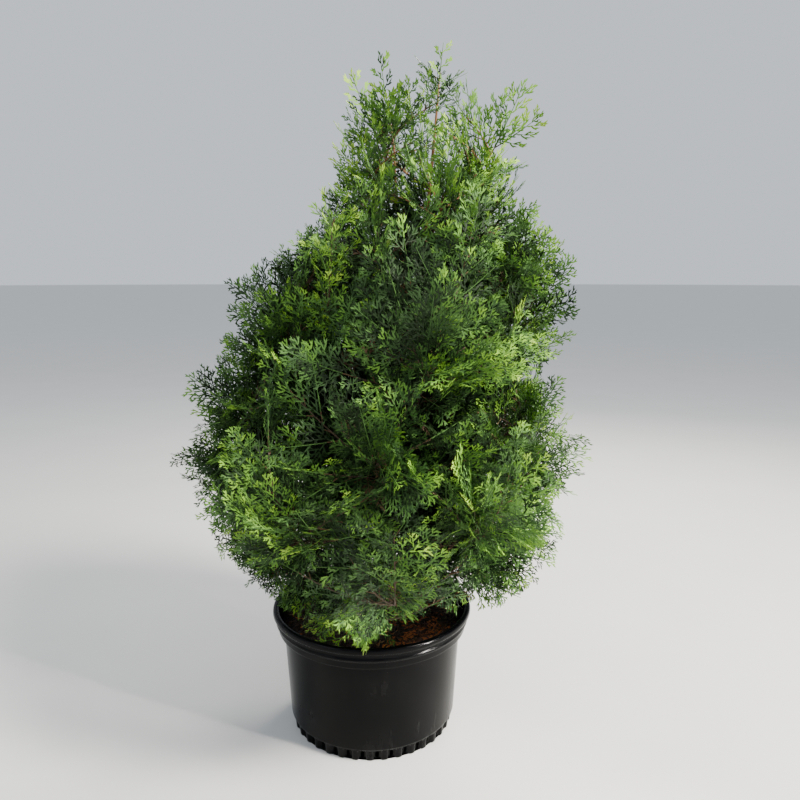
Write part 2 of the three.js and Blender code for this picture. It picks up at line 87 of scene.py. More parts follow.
def pot_flutes(radius, height, turn):
    """How far the flutes draw the outer face of the foot in."""
    pitch = 2 * math.pi * FLUTE_RADIUS / FLUTES
    across = (turn * FLUTES / (2 * math.pi) % 1 - 0.5) * pitch
    above = np.maximum(0, height - FLUTE_SHOULDER)
    inside = (FLUTE_HALF_WIDTH - np.hypot(across, 2 * above)) / FLUTE_SLOPE
    share = np.clip(inside, 0, 1)
    depth = FLUTE_DEPTH * share * share * (3 - 2 * share)
    return np.where((height < FOOT_TOP) & (radius > OUTER_FACE_FROM), depth, 0)


outside = rounded([*POT_OUTSIDE, (181.1, 1.8, 0)])[:-1]
outside += [(FOOT_RADIUS + FOOT_SPREAD * height / FOOT_TOP, height) for height in FOOT_RINGS]
above_foot = [(183.9, 24.2, 0), *POT_WALL, *POT_LIP, *POT_MOUTH, *POT_INSIDE, (*POT_INSIDE_FOOT, 0)]
outside += rounded(above_foot)[1:-1]
inside = [(inside_radius(height), height) for height in [28.0, *SLOT_RINGS[::-1]]]
outline = np.array([*outside, *inside, POT_INSIDE_FOOT, (120, 4), (0, 4)])


def around(count):
    """Angles in equal steps all the way round."""
    return np.arange(count) * 2 * math.pi / count


def turned(outline, turns, drawn_in=None):
    """An outline turned round the upright axis, as points and faces. Its two ends lie on the axis."""
    radius = np.repeat(outline[1:-1, :1], len(turns), axis=1)
    height = np.repeat(outline[1:-1, 1:], len(turns), axis=1)
    if drawn_in is not None:
        radius = radius - drawn_in(radius, height, turns[None, :])
    rings = np.stack([radius * np.cos(turns), radius * np.sin(turns), height], axis=-1)
    ends = [(0, 0, outline[0, 1]), (0, 0, outline[-1, 1])]
    points = np.vstack([rings.reshape(-1, 3), ends])
    last, columns = rings.shape[0] - 1, len(turns)
    step = np.arange(columns)
    ahead = (step + 1) % columns
    quads = [
        np.stack([row + step, row + ahead, row + columns + ahead, row + columns + step], 1)
        for row in range(0, last * columns, columns)
    ]
    foot, head = len(points) - 2, len(points) - 1
    caps = [
        np.stack([np.full(columns, foot), ahead, step], 1),
        np.stack([last * columns + step, last * columns + ahead, np.full(columns, head)], 1),
    ]
    return points, np.stack(quads), np.vstack(caps)


def cut_slots(quads, outline, columns):
    """Takes the slots out of both faces of the wall, and lines them through its thickness."""
    radius, height = outline[1:-1].T
    slotted = (height >= SLOT_RINGS[0]) & (height <= SLOT_RINGS[-1])
    outer = np.flatnonzero(slotted & (radius > OUTER_FACE_FROM)).tolist()
    inner = np.flatnonzero(slotted & (radius < OUTER_FACE_FROM)).tolist()[::-1]
    kept = np.ones(quads.shape[:2], bool)
    lining = []

    def across(ring, column):
        """The two points, outside and inside the wall, where a slot's lining has a corner."""
        return outer[ring] * columns + column, inner[ring] * columns + column

    for flute in range(FLUTES):
        middle = flute * FLUTE_STEPS + FLUTE_STEPS // 2
        left, right = middle - SLOT_HALF_STEPS, middle + SLOT_HALF_STEPS
        kept[outer[0] : outer[-1], left:right] = False
        kept[inner[-1] : inner[0], left:right] = False
        for column in range(left, right):
            lining.append(across(0, column) + across(0, column + 1)[::-1])
            lining.append(across(-1, column + 1) + across(-1, column)[::-1])
        for ring in range(len(outer) - 1):
            lining.append(across(ring + 1, left) + across(ring, left)[::-1])
            lining.append(across(ring, right) + across(ring + 1, right)[::-1])
    return np.vstack([quads[kept], lining])


def make_piece(name, parts, finishes, smooth=True):
    """Joins parts, each (points in millimetres, lists of (faces, finish numbers)), into one piece."""
    points, corners, starts, worn, first, corner = [], [], [], [], 0, 0
    for place, face_lists in parts:
        points.append(place)
        for faces, finish in face_lists:
            corners.append((faces + first).ravel())
            starts.append(corner + np.arange(len(faces)) * faces.shape[1])
            worn.append(np.broadcast_to(finish, len(faces)))
            corner += faces.size
        first += len(place)
    mesh = bpy.data.meshes.new(name)
    mesh.vertices.add(first)
    mesh.vertices.foreach_set("co", (np.vstack(points) * MM).astype(np.float32).ravel())
    mesh.loops.add(corner)
    mesh.loops.foreach_set("vertex_index", np.concatenate(corners).astype(np.int32))
    mesh.polygons.add(sum(map(len, starts)))
    mesh.polygons.foreach_set("loop_start", np.concatenate(starts).astype(np.int32))
    mesh.polygons.foreach_set("material_index", np.concatenate(worn).astype(np.int32))
    mesh.update(calc_edges=True)
    mesh.validate()
    if smooth:
        mesh.shade_smooth()
    for finish in finishes:
        mesh.materials.append(finish)
    piece = bpy.data.objects.new(name, mesh)
    bpy.context.scene.collection.objects.link(piece)
    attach(piece, "root")
    return piece


def new_finish(name, **plain):
    """A finish with these plain values on its shader, and the tree and shader to add its detail to."""
    finish = bpy.data.materials.new(name)
    finish.use_nodes = True
    shader = finish.node_tree.nodes["Principled BSDF"]
    for socket, value in plain.items():
        shader.inputs[socket.replace("_", " ")].default_value = value
    return finish, finish.node_tree, shader


def detail(tree, kind, inputs, **settings):
    """Adds one node to a finish, with its inputs given as plain values or as other nodes' outputs."""
    node = tree.nodes.new("ShaderNode" + kind)
    for setting, value in settings.items():
        setattr(node, setting, value)
    for socket, value in inputs.items():
        if isinstance(value, bpy.types.NodeSocket):
            tree.links.new(value, node.inputs[socket])
        else:
            node.inputs[socket].default_value = value
    return node


def speckle(tree, scale, stretch=(1, 1, 1), rough=0.55, layers=4):
    """A noise pattern in the piece's own space, with this many waves to the metre."""
    place = detail(tree, "TexCoord", {}).outputs["Object"]
    stretched = detail(tree, "Mapping", {"Vector": place, "Scale": stretch}).outputs["Vector"]
    wave = {"Vector": stretched, "Scale": scale, "Detail": layers, "Roughness": rough}
    return detail(tree, "TexNoise", wave).outputs["Fac"]


def between(tree, pattern, low, high, to_low=0.0, to_high=1.0):
    """Stretches the part of a pattern that lies between two levels."""
    levels = {"Value": pattern, "From Min": low, "From Max": high, "To Min": to_low, "To Max": to_high}
    return detail(tree, "MapRange", levels).outputs["Result"]


def blended(tree, share, first, second):
    """Two colours mixed by a pattern."""
    node = detail(tree, "Mix", {}, data_type="RGBA")
    tree.links.new(share, node.inputs[0])
    for socket, value in ((node.inputs[6], first), (node.inputs[7], second)):
        if isinstance(value, bpy.types.NodeSocket):
            tree.links.new(value, socket)
        else:
            socket.default_value = (*value, 1)
    return node.outputs[2]


def raised(tree, shader, pattern, strength, depth):
    """Gives the finish the relief of a pattern."""
    bump = detail(tree, "Bump", {"Height": pattern, "Strength": strength, "Distance": depth})
    tree.links.new(bump.outputs["Normal"], shader.inputs["Normal"])


pot_plastic, tree, shader = new_finish("black_nursery_plastic", IOR=1.46, Specular_IOR_Level=0.09)
cloudy = speckle(tree, 9, rough=0.6)
streaks = speckle(tree, 55, stretch=(1, 1, 0.12))
height = detail(tree, "SeparateXYZ", {"Vector": detail(tree, "TexCoord", {}).outputs["Object"]}).outputs["Z"]
splash = between(tree, height, 0.1, 0.0, 0.0, 0.5)
dust = detail(tree, "Math", {0: between(tree, cloudy, 0.45, 0.75), 1: splash}, operation="ADD").outputs[0]
dusty = detail(tree, "Math", {0: dust, 1: between(tree, streaks, 0.35, 0.7)}, operation="MULTIPLY").outputs[0]
plastic = blended(tree, between(tree, dusty, 0, 1.2), (0.0007, 0.0008, 0.001), (0.0045, 0.0045, 0.0044))
spot_cells = detail(tree, "TexVoronoi", {"Scale": 42.0, "Randomness": 1.0})
spots = between(tree, spot_cells.outputs["Distance"], 0.05, 0.03)
tree.links.new(blended(tree, spots, plastic, (0.07, 0.07, 0.068)), shader.inputs["Base Color"])
tree.links.new(between(tree, dusty, 0, 1, 0.2, 0.38), shader.inputs["Roughness"])
raised(tree, shader, speckle(tree, 420, rough=0.5), 0.12, 0.0006)

pot_points, pot_quads, pot_caps = turned(outline, around(FLUTES * FLUTE_STEPS), pot_flutes)
pot_walls = cut_slots(pot_quads, outline, FLUTES * FLUTE_STEPS)
pot = make_piece("nursery_pot", [(pot_points, [(pot_walls, 0), (pot_caps, 0)])], [pot_plastic])
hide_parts("pot")

# Potting mix
# Composted bark that fills the pot to a few centimetres below its lip. It is pressed in round the root ball,
# uneven on top, and lowest where water runs off along the wall.
MIX_LEVEL, MIX_FLAT, MIX_EDGE, MIX_EDGE_DROP = 242, 52, 206.5, 6
MIX_LUMPS = [(3.2, 31, 3), (1.9, 11, 9), (1.0, 4.5, 21)]
MIX_TOP_RINGS, MIX_TOP_RING_HEIGHT = 46, 236


def mix_height(x, y):
    """The height of the potting mix's top at a place, in millimetres."""
    out = math.hypot(x, y)
    level = MIX_LEVEL - MIX_EDGE_DROP * max(0, (out - MIX_FLAT) / (MIX_EDGE - MIX_FLAT)) ** 2
    return level + sum(high * noise.noise(Vector((x, y, layer)) / wide) for high, wide, layer in MIX_LUMPS)


mix_body = [(0, 4.6), (100, 4.6), (171.4, 4.6), (195, 223.5), (MIX_EDGE, 232)]
mix_top = [(1 - k / MIX_TOP_RINGS) ** 0.8 * MIX_EDGE for k in range(MIX_TOP_RINGS + 1)]
mix_top = [(radius, MIX_TOP_RING_HEIGHT) for radius in mix_top]
mix_points, mix_quads, mix_caps = turned(np.array(mix_body + mix_top), around(150))
for point in mix_points:
    if point[2] >= MIX_TOP_RING_HEIGHT:
        point[2] = mix_height(point[0], point[1])

mix_finish, tree, shader = new_finish("composted_bark", Roughness=0.93)
crumbs = speckle(tree, 260, rough=0.75)
mix_colour = blended(tree, between(tree, crumbs, 0.38, 0.66), (0.006, 0.004, 0.003), (0.032, 0.018, 0.012))
tree.links.new(mix_colour, shader.inputs["Base Color"])
raised(tree, shader, speckle(tree, 700, rough=0.8), 0.9, 0.002)
mix_faces = [(mix_quads.reshape(-1, 4), 0), (mix_caps, 0)]
mix = make_piece("bark_mix", [(mix_points, mix_faces)], [mix_finish])
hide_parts("potting_mix")

# Bark chips and dead foliage
# Coarse bits of bark lie loose on the mix, and among them what the plant has dropped: brown scraps of its own
# flat sprays, bright orange where they are dry, most of them along the front on the right.
CHIPS, CHIP_SIZES, CHIP_TONES = 2600, [(5, 17), (3, 7.5), (1, 3)], (0.5, 0.36, 0.14)
TRUNK_ROOM, WALL_ROOM = 30, 8
SCRAPS, SCRAP_TONES = 255, (0.55, 0.37, 0.08)
SCRAP_FANS = [(34, False), (26, False), (20, True)]
SCRAP_REACH, SCRAP_TRUNK_ROOM, SCRAP_WALL_ROOM = 42, 28, 12
HEAP_SHARE, HEAP_MIDDLE, HEAP_SPREAD = 0.72, (118, -112), 48
BOX = np.array([(x, y, z) for x in (-0.5, 0.5) for y in (-0.5, 0.5) for z in (-0.5, 0.5)])
BOX_FACES = np.array([(0, 1, 3, 2), (4, 6, 7, 5), (0, 4, 5, 1), (2, 3, 7, 6), (0, 2, 6, 4), (1, 5, 7, 3)])


def turned_about(axis, angle):
    """The rotation by an angle about an axis, as rows to multiply points by."""
    x, y, z = axis
    c, s = math.cos(angle), math.sin(angle)
    return np.array([
        (c + x * x * (1 - c), y * x * (1 - c) + z * s, z * x * (1 - c) - y * s),
        (x * y * (1 - c) - z * s, c + y * y * (1 - c), z * y * (1 - c) + x * s),
        (x * z * (1 - c) + y * s, y * z * (1 - c) - x * s, c + z * z * (1 - c)),
    ])


def on_the_mix(draw):
    """A random place on the mix, clear of the trunk's foot."""
    while True:
        x, y = draw.uniform(-MIX_EDGE, MIX_EDGE, 2)
        if TRUNK_ROOM < math.hypot(x, y) < MIX_EDGE - WALL_ROOM:
            return x, y


draw = np.random.default_rng(11)
chip_points, chip_tones = [], []
for _ in range(CHIPS):
    x, y = on_the_mix(draw)
    size = np.array([draw.uniform(*span) for span in CHIP_SIZES])
    shape = (BOX + draw.uniform(-0.16, 0.16, BOX.shape)) * size
    lie = turned_about((1, 0, 0), draw.normal(0, 0.35)) @ turned_about((0, 1, 0), draw.normal(0, 0.25))
    shape = shape @ lie @ turned_about((0, 0, 1), draw.uniform(0, 2 * math.pi))
    chip_points.append(shape + (x, y, mix_height(x, y) + 0.35 * size[2]))
    chip_tones.append(draw.choice(3, p=CHIP_TONES))
chip_faces = (np.arange(CHIPS)[:, None, None] * 8 + BOX_FACES).reshape(-1, 4)


def bark_bit_finish(name, dark, light):
    """Dry or wet bits of bark and foliage, with a fine grain in two tones."""
    finish, tree, shader = new_finish(name, Roughness=0.85)
    grain = speckle(tree, 330, stretch=(1, 1, 0.4), rough=0.65)
    tree.links.new(blended(tree, between(tree, grain, 0.35, 0.65), dark, light), shader.inputs["Base Color"])
    raised(tree, shader, grain, 0.6, 0.001)
    return finish


chip_finishes = [
    bark_bit_finish("chip_wet", (0.012, 0.007, 0.005), (0.045, 0.026, 0.016)),
    bark_bit_finish("chip_brown", (0.022, 0.012, 0.008), (0.065, 0.034, 0.019)),
    bark_bit_finish("chip_pale", (0.050, 0.028, 0.016), (0.12, 0.072, 0.042)),
]
make_piece("bark_chips", [(np.vstack(chip_points), [(chip_faces, np.repeat(chip_tones, 6))])],
           chip_finishes, smooth=False)

# A spray is a flat fan: a midrib with side twigs left and right in turn, and fingers along each of those. A
# finger is a pointed strip of scale leaves, folded a little along its middle: rows of (along, across), faces.
STRIP = np.array([(0, 0), (0.3, -0.5), (0.8, -0.4), (1, 0), (0.8, 0.4), (0.3, 0.5)])
STRIP_FACES = np.array([(0, 1, 2), (0, 2, 3), (0, 3, 4), (0, 4, 5)])
FINGER = np.array([(0, 0), (0.36, -0.5), (1, 0), (0.36, 0.5)])
FINGER_FACES = np.array([(0, 1, 2), (0, 2, 3)])
FINGER_WIDTH, FOLD, YOUNG_FROM = 3.25, 0.4, 0.58
# The angle of the side twigs, in degrees, and how long the longest are for a fan of length 1.
SLENDER, BROAD = (38, 0.34), (49, 0.48)
GRADES = {
    # how far apart the side twigs and the fingers stand, how wide both are, and how long the fingers
    "open": (8.0, 6.6, 1.0, 1.3),
    "fine": (8.2, 6.8, 1.0, 1.0),
    "plain": (10.0, 8.8, 1.5, 1.25),
    "coarse": (16.0, 15.0, 3.4, 1.7),
}


def grow_fan(length, draw, grade="fine", slender=False):
    """One spray along +x, as points in shares of its length, faces, and which faces are young growth."""
    side_step, finger_step, wider, longer = GRADES[grade]
    side_angle, breadth = SLENDER if slender else BROAD
    width = FINGER_WIDTH * wider
    finely = grade in ("open", "fine")
    points, faces, young = [], [], []

    def strip(shape, shape_faces, x, y, turn, long, wide, is_young):
        """Adds one pointed strip that starts at a place and runs towards a turn."""
        ahead = np.array((math.cos(turn), math.sin(turn)))
        aside = np.array((-ahead[1], ahead[0]))
        flat = (x, y) + np.outer(shape[:, 0] * long, ahead) + np.outer(shape[:, 1] * wide, aside)
        height = draw.uniform(-0.3, 0.3) - FOLD * wide * np.abs(shape[:, 1])
        faces.append(shape_faces + sum(map(len, points)))
        points.append(np.column_stack([flat, height]))
        young.extend([is_young] * len(shape_faces))

    long_strip = (STRIP, STRIP_FACES) if finely else (FINGER, FINGER_FACES)
    ribs = 3 if finely else 1
    for k in range(ribs):
        at = length * k / ribs * 0.97
        strip(*long_strip, at, 0, 0, length / ribs * 1.03, FINGER_WIDTH * 0.85 * wider, k / ribs > YOUNG_FROM)
    nodes = max(3, round(length / side_step))
    for k in range(1, nodes):
        along = k / nodes
        hand = 1 if k % 2 else -1
        turn = hand * math.radians(side_angle - 16 * along + draw.uniform(-6, 6))
        widest = breadth * length * (1 - along) ** 0.7 * min(1, 0.5 + 2 * along)
        reach = widest * draw.uniform(0.82, 1.15) + 6
        x = length * along
        strip(*long_strip, x, 0, turn, reach, width, along > YOUNG_FROM)
        count = int(reach / finger_step) - 1
        for j in range(1, count + 1):
            out = j / (count + 1)
            side = hand if j % 2 else -hand
            small = (min(12, 0.55 * reach * (1 - out)) * draw.uniform(0.85, 1.15) + 5.5) * longer
            place = (x + math.cos(turn) * reach * out, math.sin(turn) * reach * out)
            lean = turn - side * math.radians(draw.uniform(30, 42))
            strip(FINGER, FINGER_FACES, *place, lean, small, width, along + 0.4 * out > YOUNG_FROM)
    return np.vstack(points) / length, np.vstack(faces), np.array(young)


def copies(fan, root, ahead, face, length, bend, cup):
    """One fan set down at many places, each bent along its midrib and cupped across it."""
    shape, faces, _ = fan
    side = np.cross(face, ahead)
    x, y, z = (shape[:, i][None, :, None] for i in range(3))
    spot = x * ahead[:, None] + y * side[:, None] + (z - cup[:, None, None] * y * y) * face[:, None]
    points = root[:, None] + length[:, None, None] * (spot + x * x * bend[:, None])
    places = np.arange(len(root))[:, None, None] * len(shape)
    return points.reshape(-1, 3), (places + faces).reshape(-1, 3)


draw = np.random.default_rng(12)
scrap_fans = [(length, grow_fan(length, draw, slender=slender)) for length, slender in SCRAP_FANS]
scrap_parts = []
for length, fan in scrap_fans:
    count = SCRAPS // len(scrap_fans)
    places, turn = [], []
    while len(places) < count:
        in_heap = draw.uniform() < HEAP_SHARE
        near = draw.normal(HEAP_MIDDLE, HEAP_SPREAD) if in_heap else on_the_mix(draw)
        way = draw.uniform(0, 2 * math.pi)
        end = near + SCRAP_REACH * np.array((math.cos(way), math.sin(way)))
        outmost = max(math.hypot(*near), math.hypot(*end))
        if math.hypot(*near) > SCRAP_TRUNK_ROOM and outmost < MIX_EDGE - SCRAP_WALL_ROOM:
            places.append((*near, mix_height(*near) + draw.uniform(1, 4)))
            turn.append(way)
    tilt = draw.normal(0, 0.16, count)
    ahead = np.column_stack([np.cos(turn) * np.cos(tilt), np.sin(turn) * np.cos(tilt), np.sin(tilt)])
    face = np.cross(np.cross(ahead, (0, 0, 1)), ahead) + draw.normal(0, 0.12, (count, 3))
    face -= ahead * np.sum(face * ahead, axis=1, keepdims=True)
    face /= np.linalg.norm(face, axis=1, keepdims=True)
    size = length * draw.uniform(0.7, 1.25, count)
    bend, cup = np.zeros((count, 3)), np.full(count, 0.3)
    points, faces = copies(fan, np.array(places), ahead, face, size, bend, cup)
    tones = np.repeat(draw.choice(3, count, p=SCRAP_TONES), len(fan[1]))
    scrap_parts.append((points, [(faces, tones)]))
scrap_finishes = [
    bark_bit_finish("dead_orange", (0.24, 0.066, 0.018), (0.60, 0.20, 0.05)),
    bark_bit_finish("dead_brown", (0.040, 0.016, 0.008), (0.105, 0.042, 0.018)),
    bark_bit_finish("dead_tan", (0.24, 0.13, 0.055), (0.42, 0.26, 0.12)),
]
make_piece("dead_scraps", scrap_parts, scrap_finishes)

# Trunk
# A single stem of soft red-brown wood that flares at its foot and leans a little to the right as it rises.
# Its thin bark splits into long upright shreds, grey outside and orange-brown in the cracks.
TRUNK_FOOT = np.array((13, 0, 217))
TRUNK_BEND = np.array((95, 25, 800))
TRUNK_TIP = np.array((139, -5, 1345))
TRUNK_RADIUS, TRUNK_TIP_RADIUS = 12.5, 2.2
ROOT_FLARE, ROOT_FLARE_HEIGHT, ROOT_LOBES, LOBE_DEPTH = 9, 70, 3, 0.35
TRUNK_SIDES, TRUNK_STEPS, TRUNK_SUNK = 36, 190, 9
RED_BARK_FROM = 1010


def curve_at(curve, share):
    """The point of a three-point curve at a share of it, or the points at several."""
    share = np.asarray(share, float)[..., None]
    foot, knee, tip = curve
    return (1 - share) ** 2 * foot + 2 * share * (1 - share) * knee + share**2 * tip


def heading(curve, share):
    """Which way a three-point curve runs at a share of it."""
    foot, knee, tip = curve
    way = (1 - share) * (knee - foot) + share * (tip - knee)
    return way / np.linalg.norm(way)


def limb(points, radii):
    """A round limb through points, with its radius for each ring and side; its end comes to a point."""
    ways = np.gradient(points, axis=0)
    ways /= np.linalg.norm(ways, axis=1, keepdims=True)
    side = np.cross(ways[0], (0.31, 1, 0.17))
    sides = []
    for way in ways:
        side = side - way * (side @ way)
        side /= np.linalg.norm(side)
        sides.append(side)
    sides = np.array(sides)
    fronts = np.cross(ways, sides)
    rings, count = radii.shape
    turn = around(count)[None, :, None]
    off = np.cos(turn) * sides[:, None] + np.sin(turn) * fronts[:, None]
    skin = (points[:, None] + radii[..., None] * off).reshape(-1, 3)
    step = np.arange(count)
    after = (step + 1) % count
    last = (rings - 1) * count
    below = np.arange(0, last, count)[:, None]
    quads = np.stack([below + step, below + after, below + count + after, below + count + step])
    foot, tip = len(skin), len(skin) + 1
    caps = [np.column_stack([np.full(count, foot), after, step])]
    caps.append(np.column_stack([last + step, last + after, np.full(count, tip)]))
    ends = [points[0], points[-1] + ways[-1] * radii[-1].mean()]
    return np.vstack([skin, ends]), quads.reshape(4, -1).T, np.vstack(caps)


def wood(points, radii, red_from=math.inf):
    """A limb as a part of a piece, in its second finish above a height."""
    skin, quads, caps = limb(points, radii)
    reddened = (skin[quads[:, 0], 2] > red_from).astype(int)
    return skin, [(quads, reddened), (caps, 0)]


def tapered(thick, thin, shares):
    """A limb's radius at shares of its length, as a column."""
    return thick + (thin - thick) * shares[:, None]


def shreds(height, turn, depth, seed):
    """The relief of stringy bark: long ridges that wander and part as they rise."""
    wander = np.random.default_rng(seed).uniform(0, 2 * math.pi, 12)
    relief = np.zeros(np.broadcast(height, turn).shape)
    for k, count in enumerate((5, 8, 13, 17)):
        drift = 1.6 * np.sin(height / 61 + wander[k]) + 0.9 * np.sin(height / 23 + wander[k + 4])
        strength = 0.6 + 0.4 * np.sin(height / 37 + wander[k + 8])
        relief += strength * np.cos(count * turn + drift + wander[k]) / (k + 2)
    return depth * relief


def along_z(curve, height):
    """The share of a rising curve at which it reaches a height."""
    low, high = 0.0, 1.0
    for _ in range(30):
        middle = (low + high) / 2
        low, high = (middle, high) if curve_at(curve, middle)[2] < height else (low, middle)
    return low


trunk_curve = (TRUNK_FOOT, TRUNK_BEND, TRUNK_TIP)
trunk_shares = np.linspace(along_z(trunk_curve, MIX_LEVEL - TRUNK_SUNK), 1, TRUNK_STEPS)
trunk_line = curve_at(trunk_curve, trunk_shares)
trunk_turn = around(TRUNK_SIDES)[None, :]
trunk_height = trunk_line[:, 2:] - TRUNK_FOOT[2]
flare = ROOT_FLARE * np.maximum(0, 1 - trunk_height / ROOT_FLARE_HEIGHT) ** 2
flare = flare * (1 + LOBE_DEPTH * np.cos(ROOT_LOBES * trunk_turn))
trunk_radius = tapered(TRUNK_RADIUS, TRUNK_TIP_RADIUS, trunk_shares) + flare
trunk_radius = trunk_radius * (1 + shreds(trunk_height, trunk_turn, depth=0.10, seed=5))


def bark_finish(name, grey, red):
    """Shredding bark: weathered grey on the ridges, red-brown between, in long streaks up the limb."""
    finish, tree, shader = new_finish(name, Roughness=0.86)
    strings = speckle(tree, 210, stretch=(1, 1, 0.07), rough=0.7)
    patches = speckle(tree, 26, stretch=(1, 1, 0.4))
    worn = detail(tree, "Math", {0: strings, 1: patches}, operation="MULTIPLY").outputs[0]
    colour = blended(tree, between(tree, worn, 0.15, 0.42), red, grey)
    tree.links.new(colour, shader.inputs["Base Color"])
    raised(tree, shader, strings, 0.85, 0.0016)
    return finish


old_bark = bark_finish("shredding_bark", (0.20, 0.135, 0.095), (0.105, 0.046, 0.022))
young_bark = bark_finish("young_red_bark", (0.30, 0.155, 0.070), (0.175, 0.070, 0.026))
trunk_parts = [wood(trunk_line, trunk_radius, RED_BARK_FROM)]
trunk = make_piece("trunk_bark", trunk_parts, [old_bark, young_bark])
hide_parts("trunk")

# Second leader
# A thinner upright stem that leaves the trunk above the middle of the crown and stands beside it to the left,
# with the smooth orange-brown bark of young wood.
SECOND_FROM, SECOND_KNEE_RISE, SECOND_KNEE_OUT = 905, 90, (-46, -24, 0)
SECOND_TIP = np.array((52, -28, 1265))
SECOND_RADIUS, SECOND_TIP_RADIUS = 5, 2
SECOND_SIDES, SECOND_STEPS = 18, 70


def trunk_at(height):
    """The middle of the trunk at a height."""
    return curve_at(trunk_curve, along_z(trunk_curve, height))


second_knee = trunk_at(SECOND_FROM + SECOND_KNEE_RISE) + SECOND_KNEE_OUT
second_curve = (trunk_at(SECOND_FROM), second_knee, SECOND_TIP)
second_shares = np.linspace(0, 1, SECOND_STEPS)
second_line = curve_at(second_curve, second_shares)
second_relief = 1 + shreds(second_line[:, 2:], around(SECOND_SIDES)[None, :], depth=0.07, seed=6)
second_radius = tapered(SECOND_RADIUS, SECOND_TIP_RADIUS, second_shares) * second_relief
second = make_piece("second_leader_bark", [wood(second_line, second_radius)], [young_bark])
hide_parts("second_leader")

# Boughs
# The three lowest tiers of foliage are carried by short boughs that leave the trunk at a rising angle. The
# tiers stand a golden step apart in height, and each plume of foliage grows on from its bough's tip.
TIERS = [
    # name, plumes, first turn, height of start and tip, the tier's middle, reach, bough, arch of the knee
    ("skirt", 5, -92, 346, 350, 36, 312, 0, 1.12),
    ("low", 6, -86, 388, 496, 5, 415, 80, 0.3),
    ("belly", 6, -56, 478, 672, 15, 440, 85, 0.25),
    ("middle", 5, -86, 590, 852, 22, 385, 75, 0.22),
    ("shoulder", 5, -84, 695, 1030, 60, 340, 0, 0.2),
    ("upper", 4, -28, 870, 1165, 112, 232, 0, 0.2),
    ("neck", 3, -72, 1020, 1305, 118, 190, 0, 0.2),
    ("top", 2, -14, 1180, 1420, 139, 178, 0, 0.2),
]
TIER_STAGGER, GOLDEN_STEP, TURN_CHANCE = 70, 0.618, 16
KNEE_AT, SEAT = 0.55, 0.3
CROWN_SEED = 20260
BOUGH_RADIUS, BOUGH_TIP_RADIUS = 6, 3
BOUGH_SIDES, BOUGH_STEPS = 14, 26
COLLAR, COLLAR_LENGTH = 0.7, 0.3


def seeded(seed):
    """A small repeatable run of random numbers from 0 to 1."""
    state = seed

    def following():
        nonlocal state
        state = state * 16807 % 2147483647
        return state / 2147483647

    return following


def unit(way):
    """The same way, of length 1."""
    return way / np.linalg.norm(way)


def plan_crown():
    """Each plume of the tiers: its name, tier, start, knee and tip, and its bough's curve if it has one."""
    random = seeded(CROWN_SEED)
    planned = []
    for tier, count, first_turn, tier_from, tier_tip, middle, tier_reach, bough_length, arch in TIERS:
        for i in range(count):
            turn = math.radians(first_turn + 360 * i / count + TURN_CHANCE * (random() - 0.5))
            lift = TIER_STAGGER * (i * GOLDEN_STEP % 1 - 0.45)
            reach = tier_reach * (0.96 + 0.1 * random())
            out = np.array((math.cos(turn), math.sin(turn), 0))
            tip = np.array((middle, 0, tier_tip + lift)) + out * reach
            start = trunk_at(tier_from + lift) + out * bough_length
            knee = start + KNEE_AT * (tip - start)
            knee[2] = start[2] + arch * (tip[2] - start[2])
            bough = None
            if bough_length:
                foot = trunk_at(tier_from + lift - 0.5 * bough_length)
                bough = (foot, start - 0.5 * bough_length * unit(knee - start), start)
                start = start + heading(bough, 1) * SEAT
            planned.append((f"{tier}_{i + 1}", tier, start, knee, tip, bough))
    return planned


crown = plan_crown()
bough_parts, bough_nodes = [], []
for number, (name, tier, start, knee, tip, bough) in enumerate(crown):
    if bough is None:
        continue
    shares = np.linspace(0, 1, BOUGH_STEPS)
    run = shares[:, None] * np.linalg.norm(bough[2] - bough[0])
    collar = 1 + COLLAR * np.maximum(0, 1 - shares[:, None] / COLLAR_LENGTH) ** 2
    relief = 1 + shreds(run, around(BOUGH_SIDES)[None, :], depth=0.08, seed=40 + number)
    radius = tapered(BOUGH_RADIUS, BOUGH_TIP_RADIUS, shares) * collar * relief
    bough_parts.append(wood(curve_at(bough, shares), radius))
    bough_nodes.append("bough_" + name)
boughs = make_piece("boughs_bark", bough_parts, [old_bark])
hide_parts(*bough_nodes)

# Stems and twigs
# Each plume of foliage is a thin stem with twigs all round it by the golden turn, leaning towards its tip.
# The wood is dull brown low in the crown, orange-brown near its top, and olive to green on the twigs.
HABITS = {
    # tier: half width of the heart, length, sag and count of the main twigs, count of finer ones, slender
    "skirt": (50, 160, 0.22, 5, 12, False),
    "low": (66, 180, 0.26, 7, 16, False),
    "belly": (70, 190, 0.16, 7, 16, False),
    "middle": (78, 190, 0.06, 6, 16, False),
    "shoulder": (74, 185, 0.0, 6, 16, False),
    "upper": (60, 165, -0.06, 6, 14, False),
    "neck": (42, 140, -0.1, 6, 9, True),
    "top": (0, 125, -0.12, 6, 11, True),
    "leader": (0, 74, 0.0, 5, 12, True),
    "second": (0, 114, -0.1, 7, 11, True),
}
PLANT_TOP = 1477
STEM_STOPS = 0.94
STEM_RADIUS, STEM_TIP_RADIUS = 2.6, 1.0
TWIG_RADIUS, TWIG_TIP_RADIUS, TWIG_STEPS, TWIG_SIDES = 1.5, 0.5, 6, 3
GOLDEN_TURN, SPLAY, TURN_ASIDE = 137.5, 44, 31
FIRST_SEED, SEED_STEP, FINER_SEED = 101, 37, 9001
SECOND_LENGTH, SECOND_LEAN = 168, (-0.12, 0, 0)
SECOND_SIDE_FROM, SECOND_SIDE_WAY, SECOND_SIDE_LENGTH = 0.78, np.array((-0.62, -0.2, 0.76)), 190
POT_CLEARANCE = 5
HEM, TUFT_HEM = 288, 262
TUFT_FROM, TUFT_TO = -104, -74
RIM_HEM, RIM_HEM_RISE = 296, 0.3
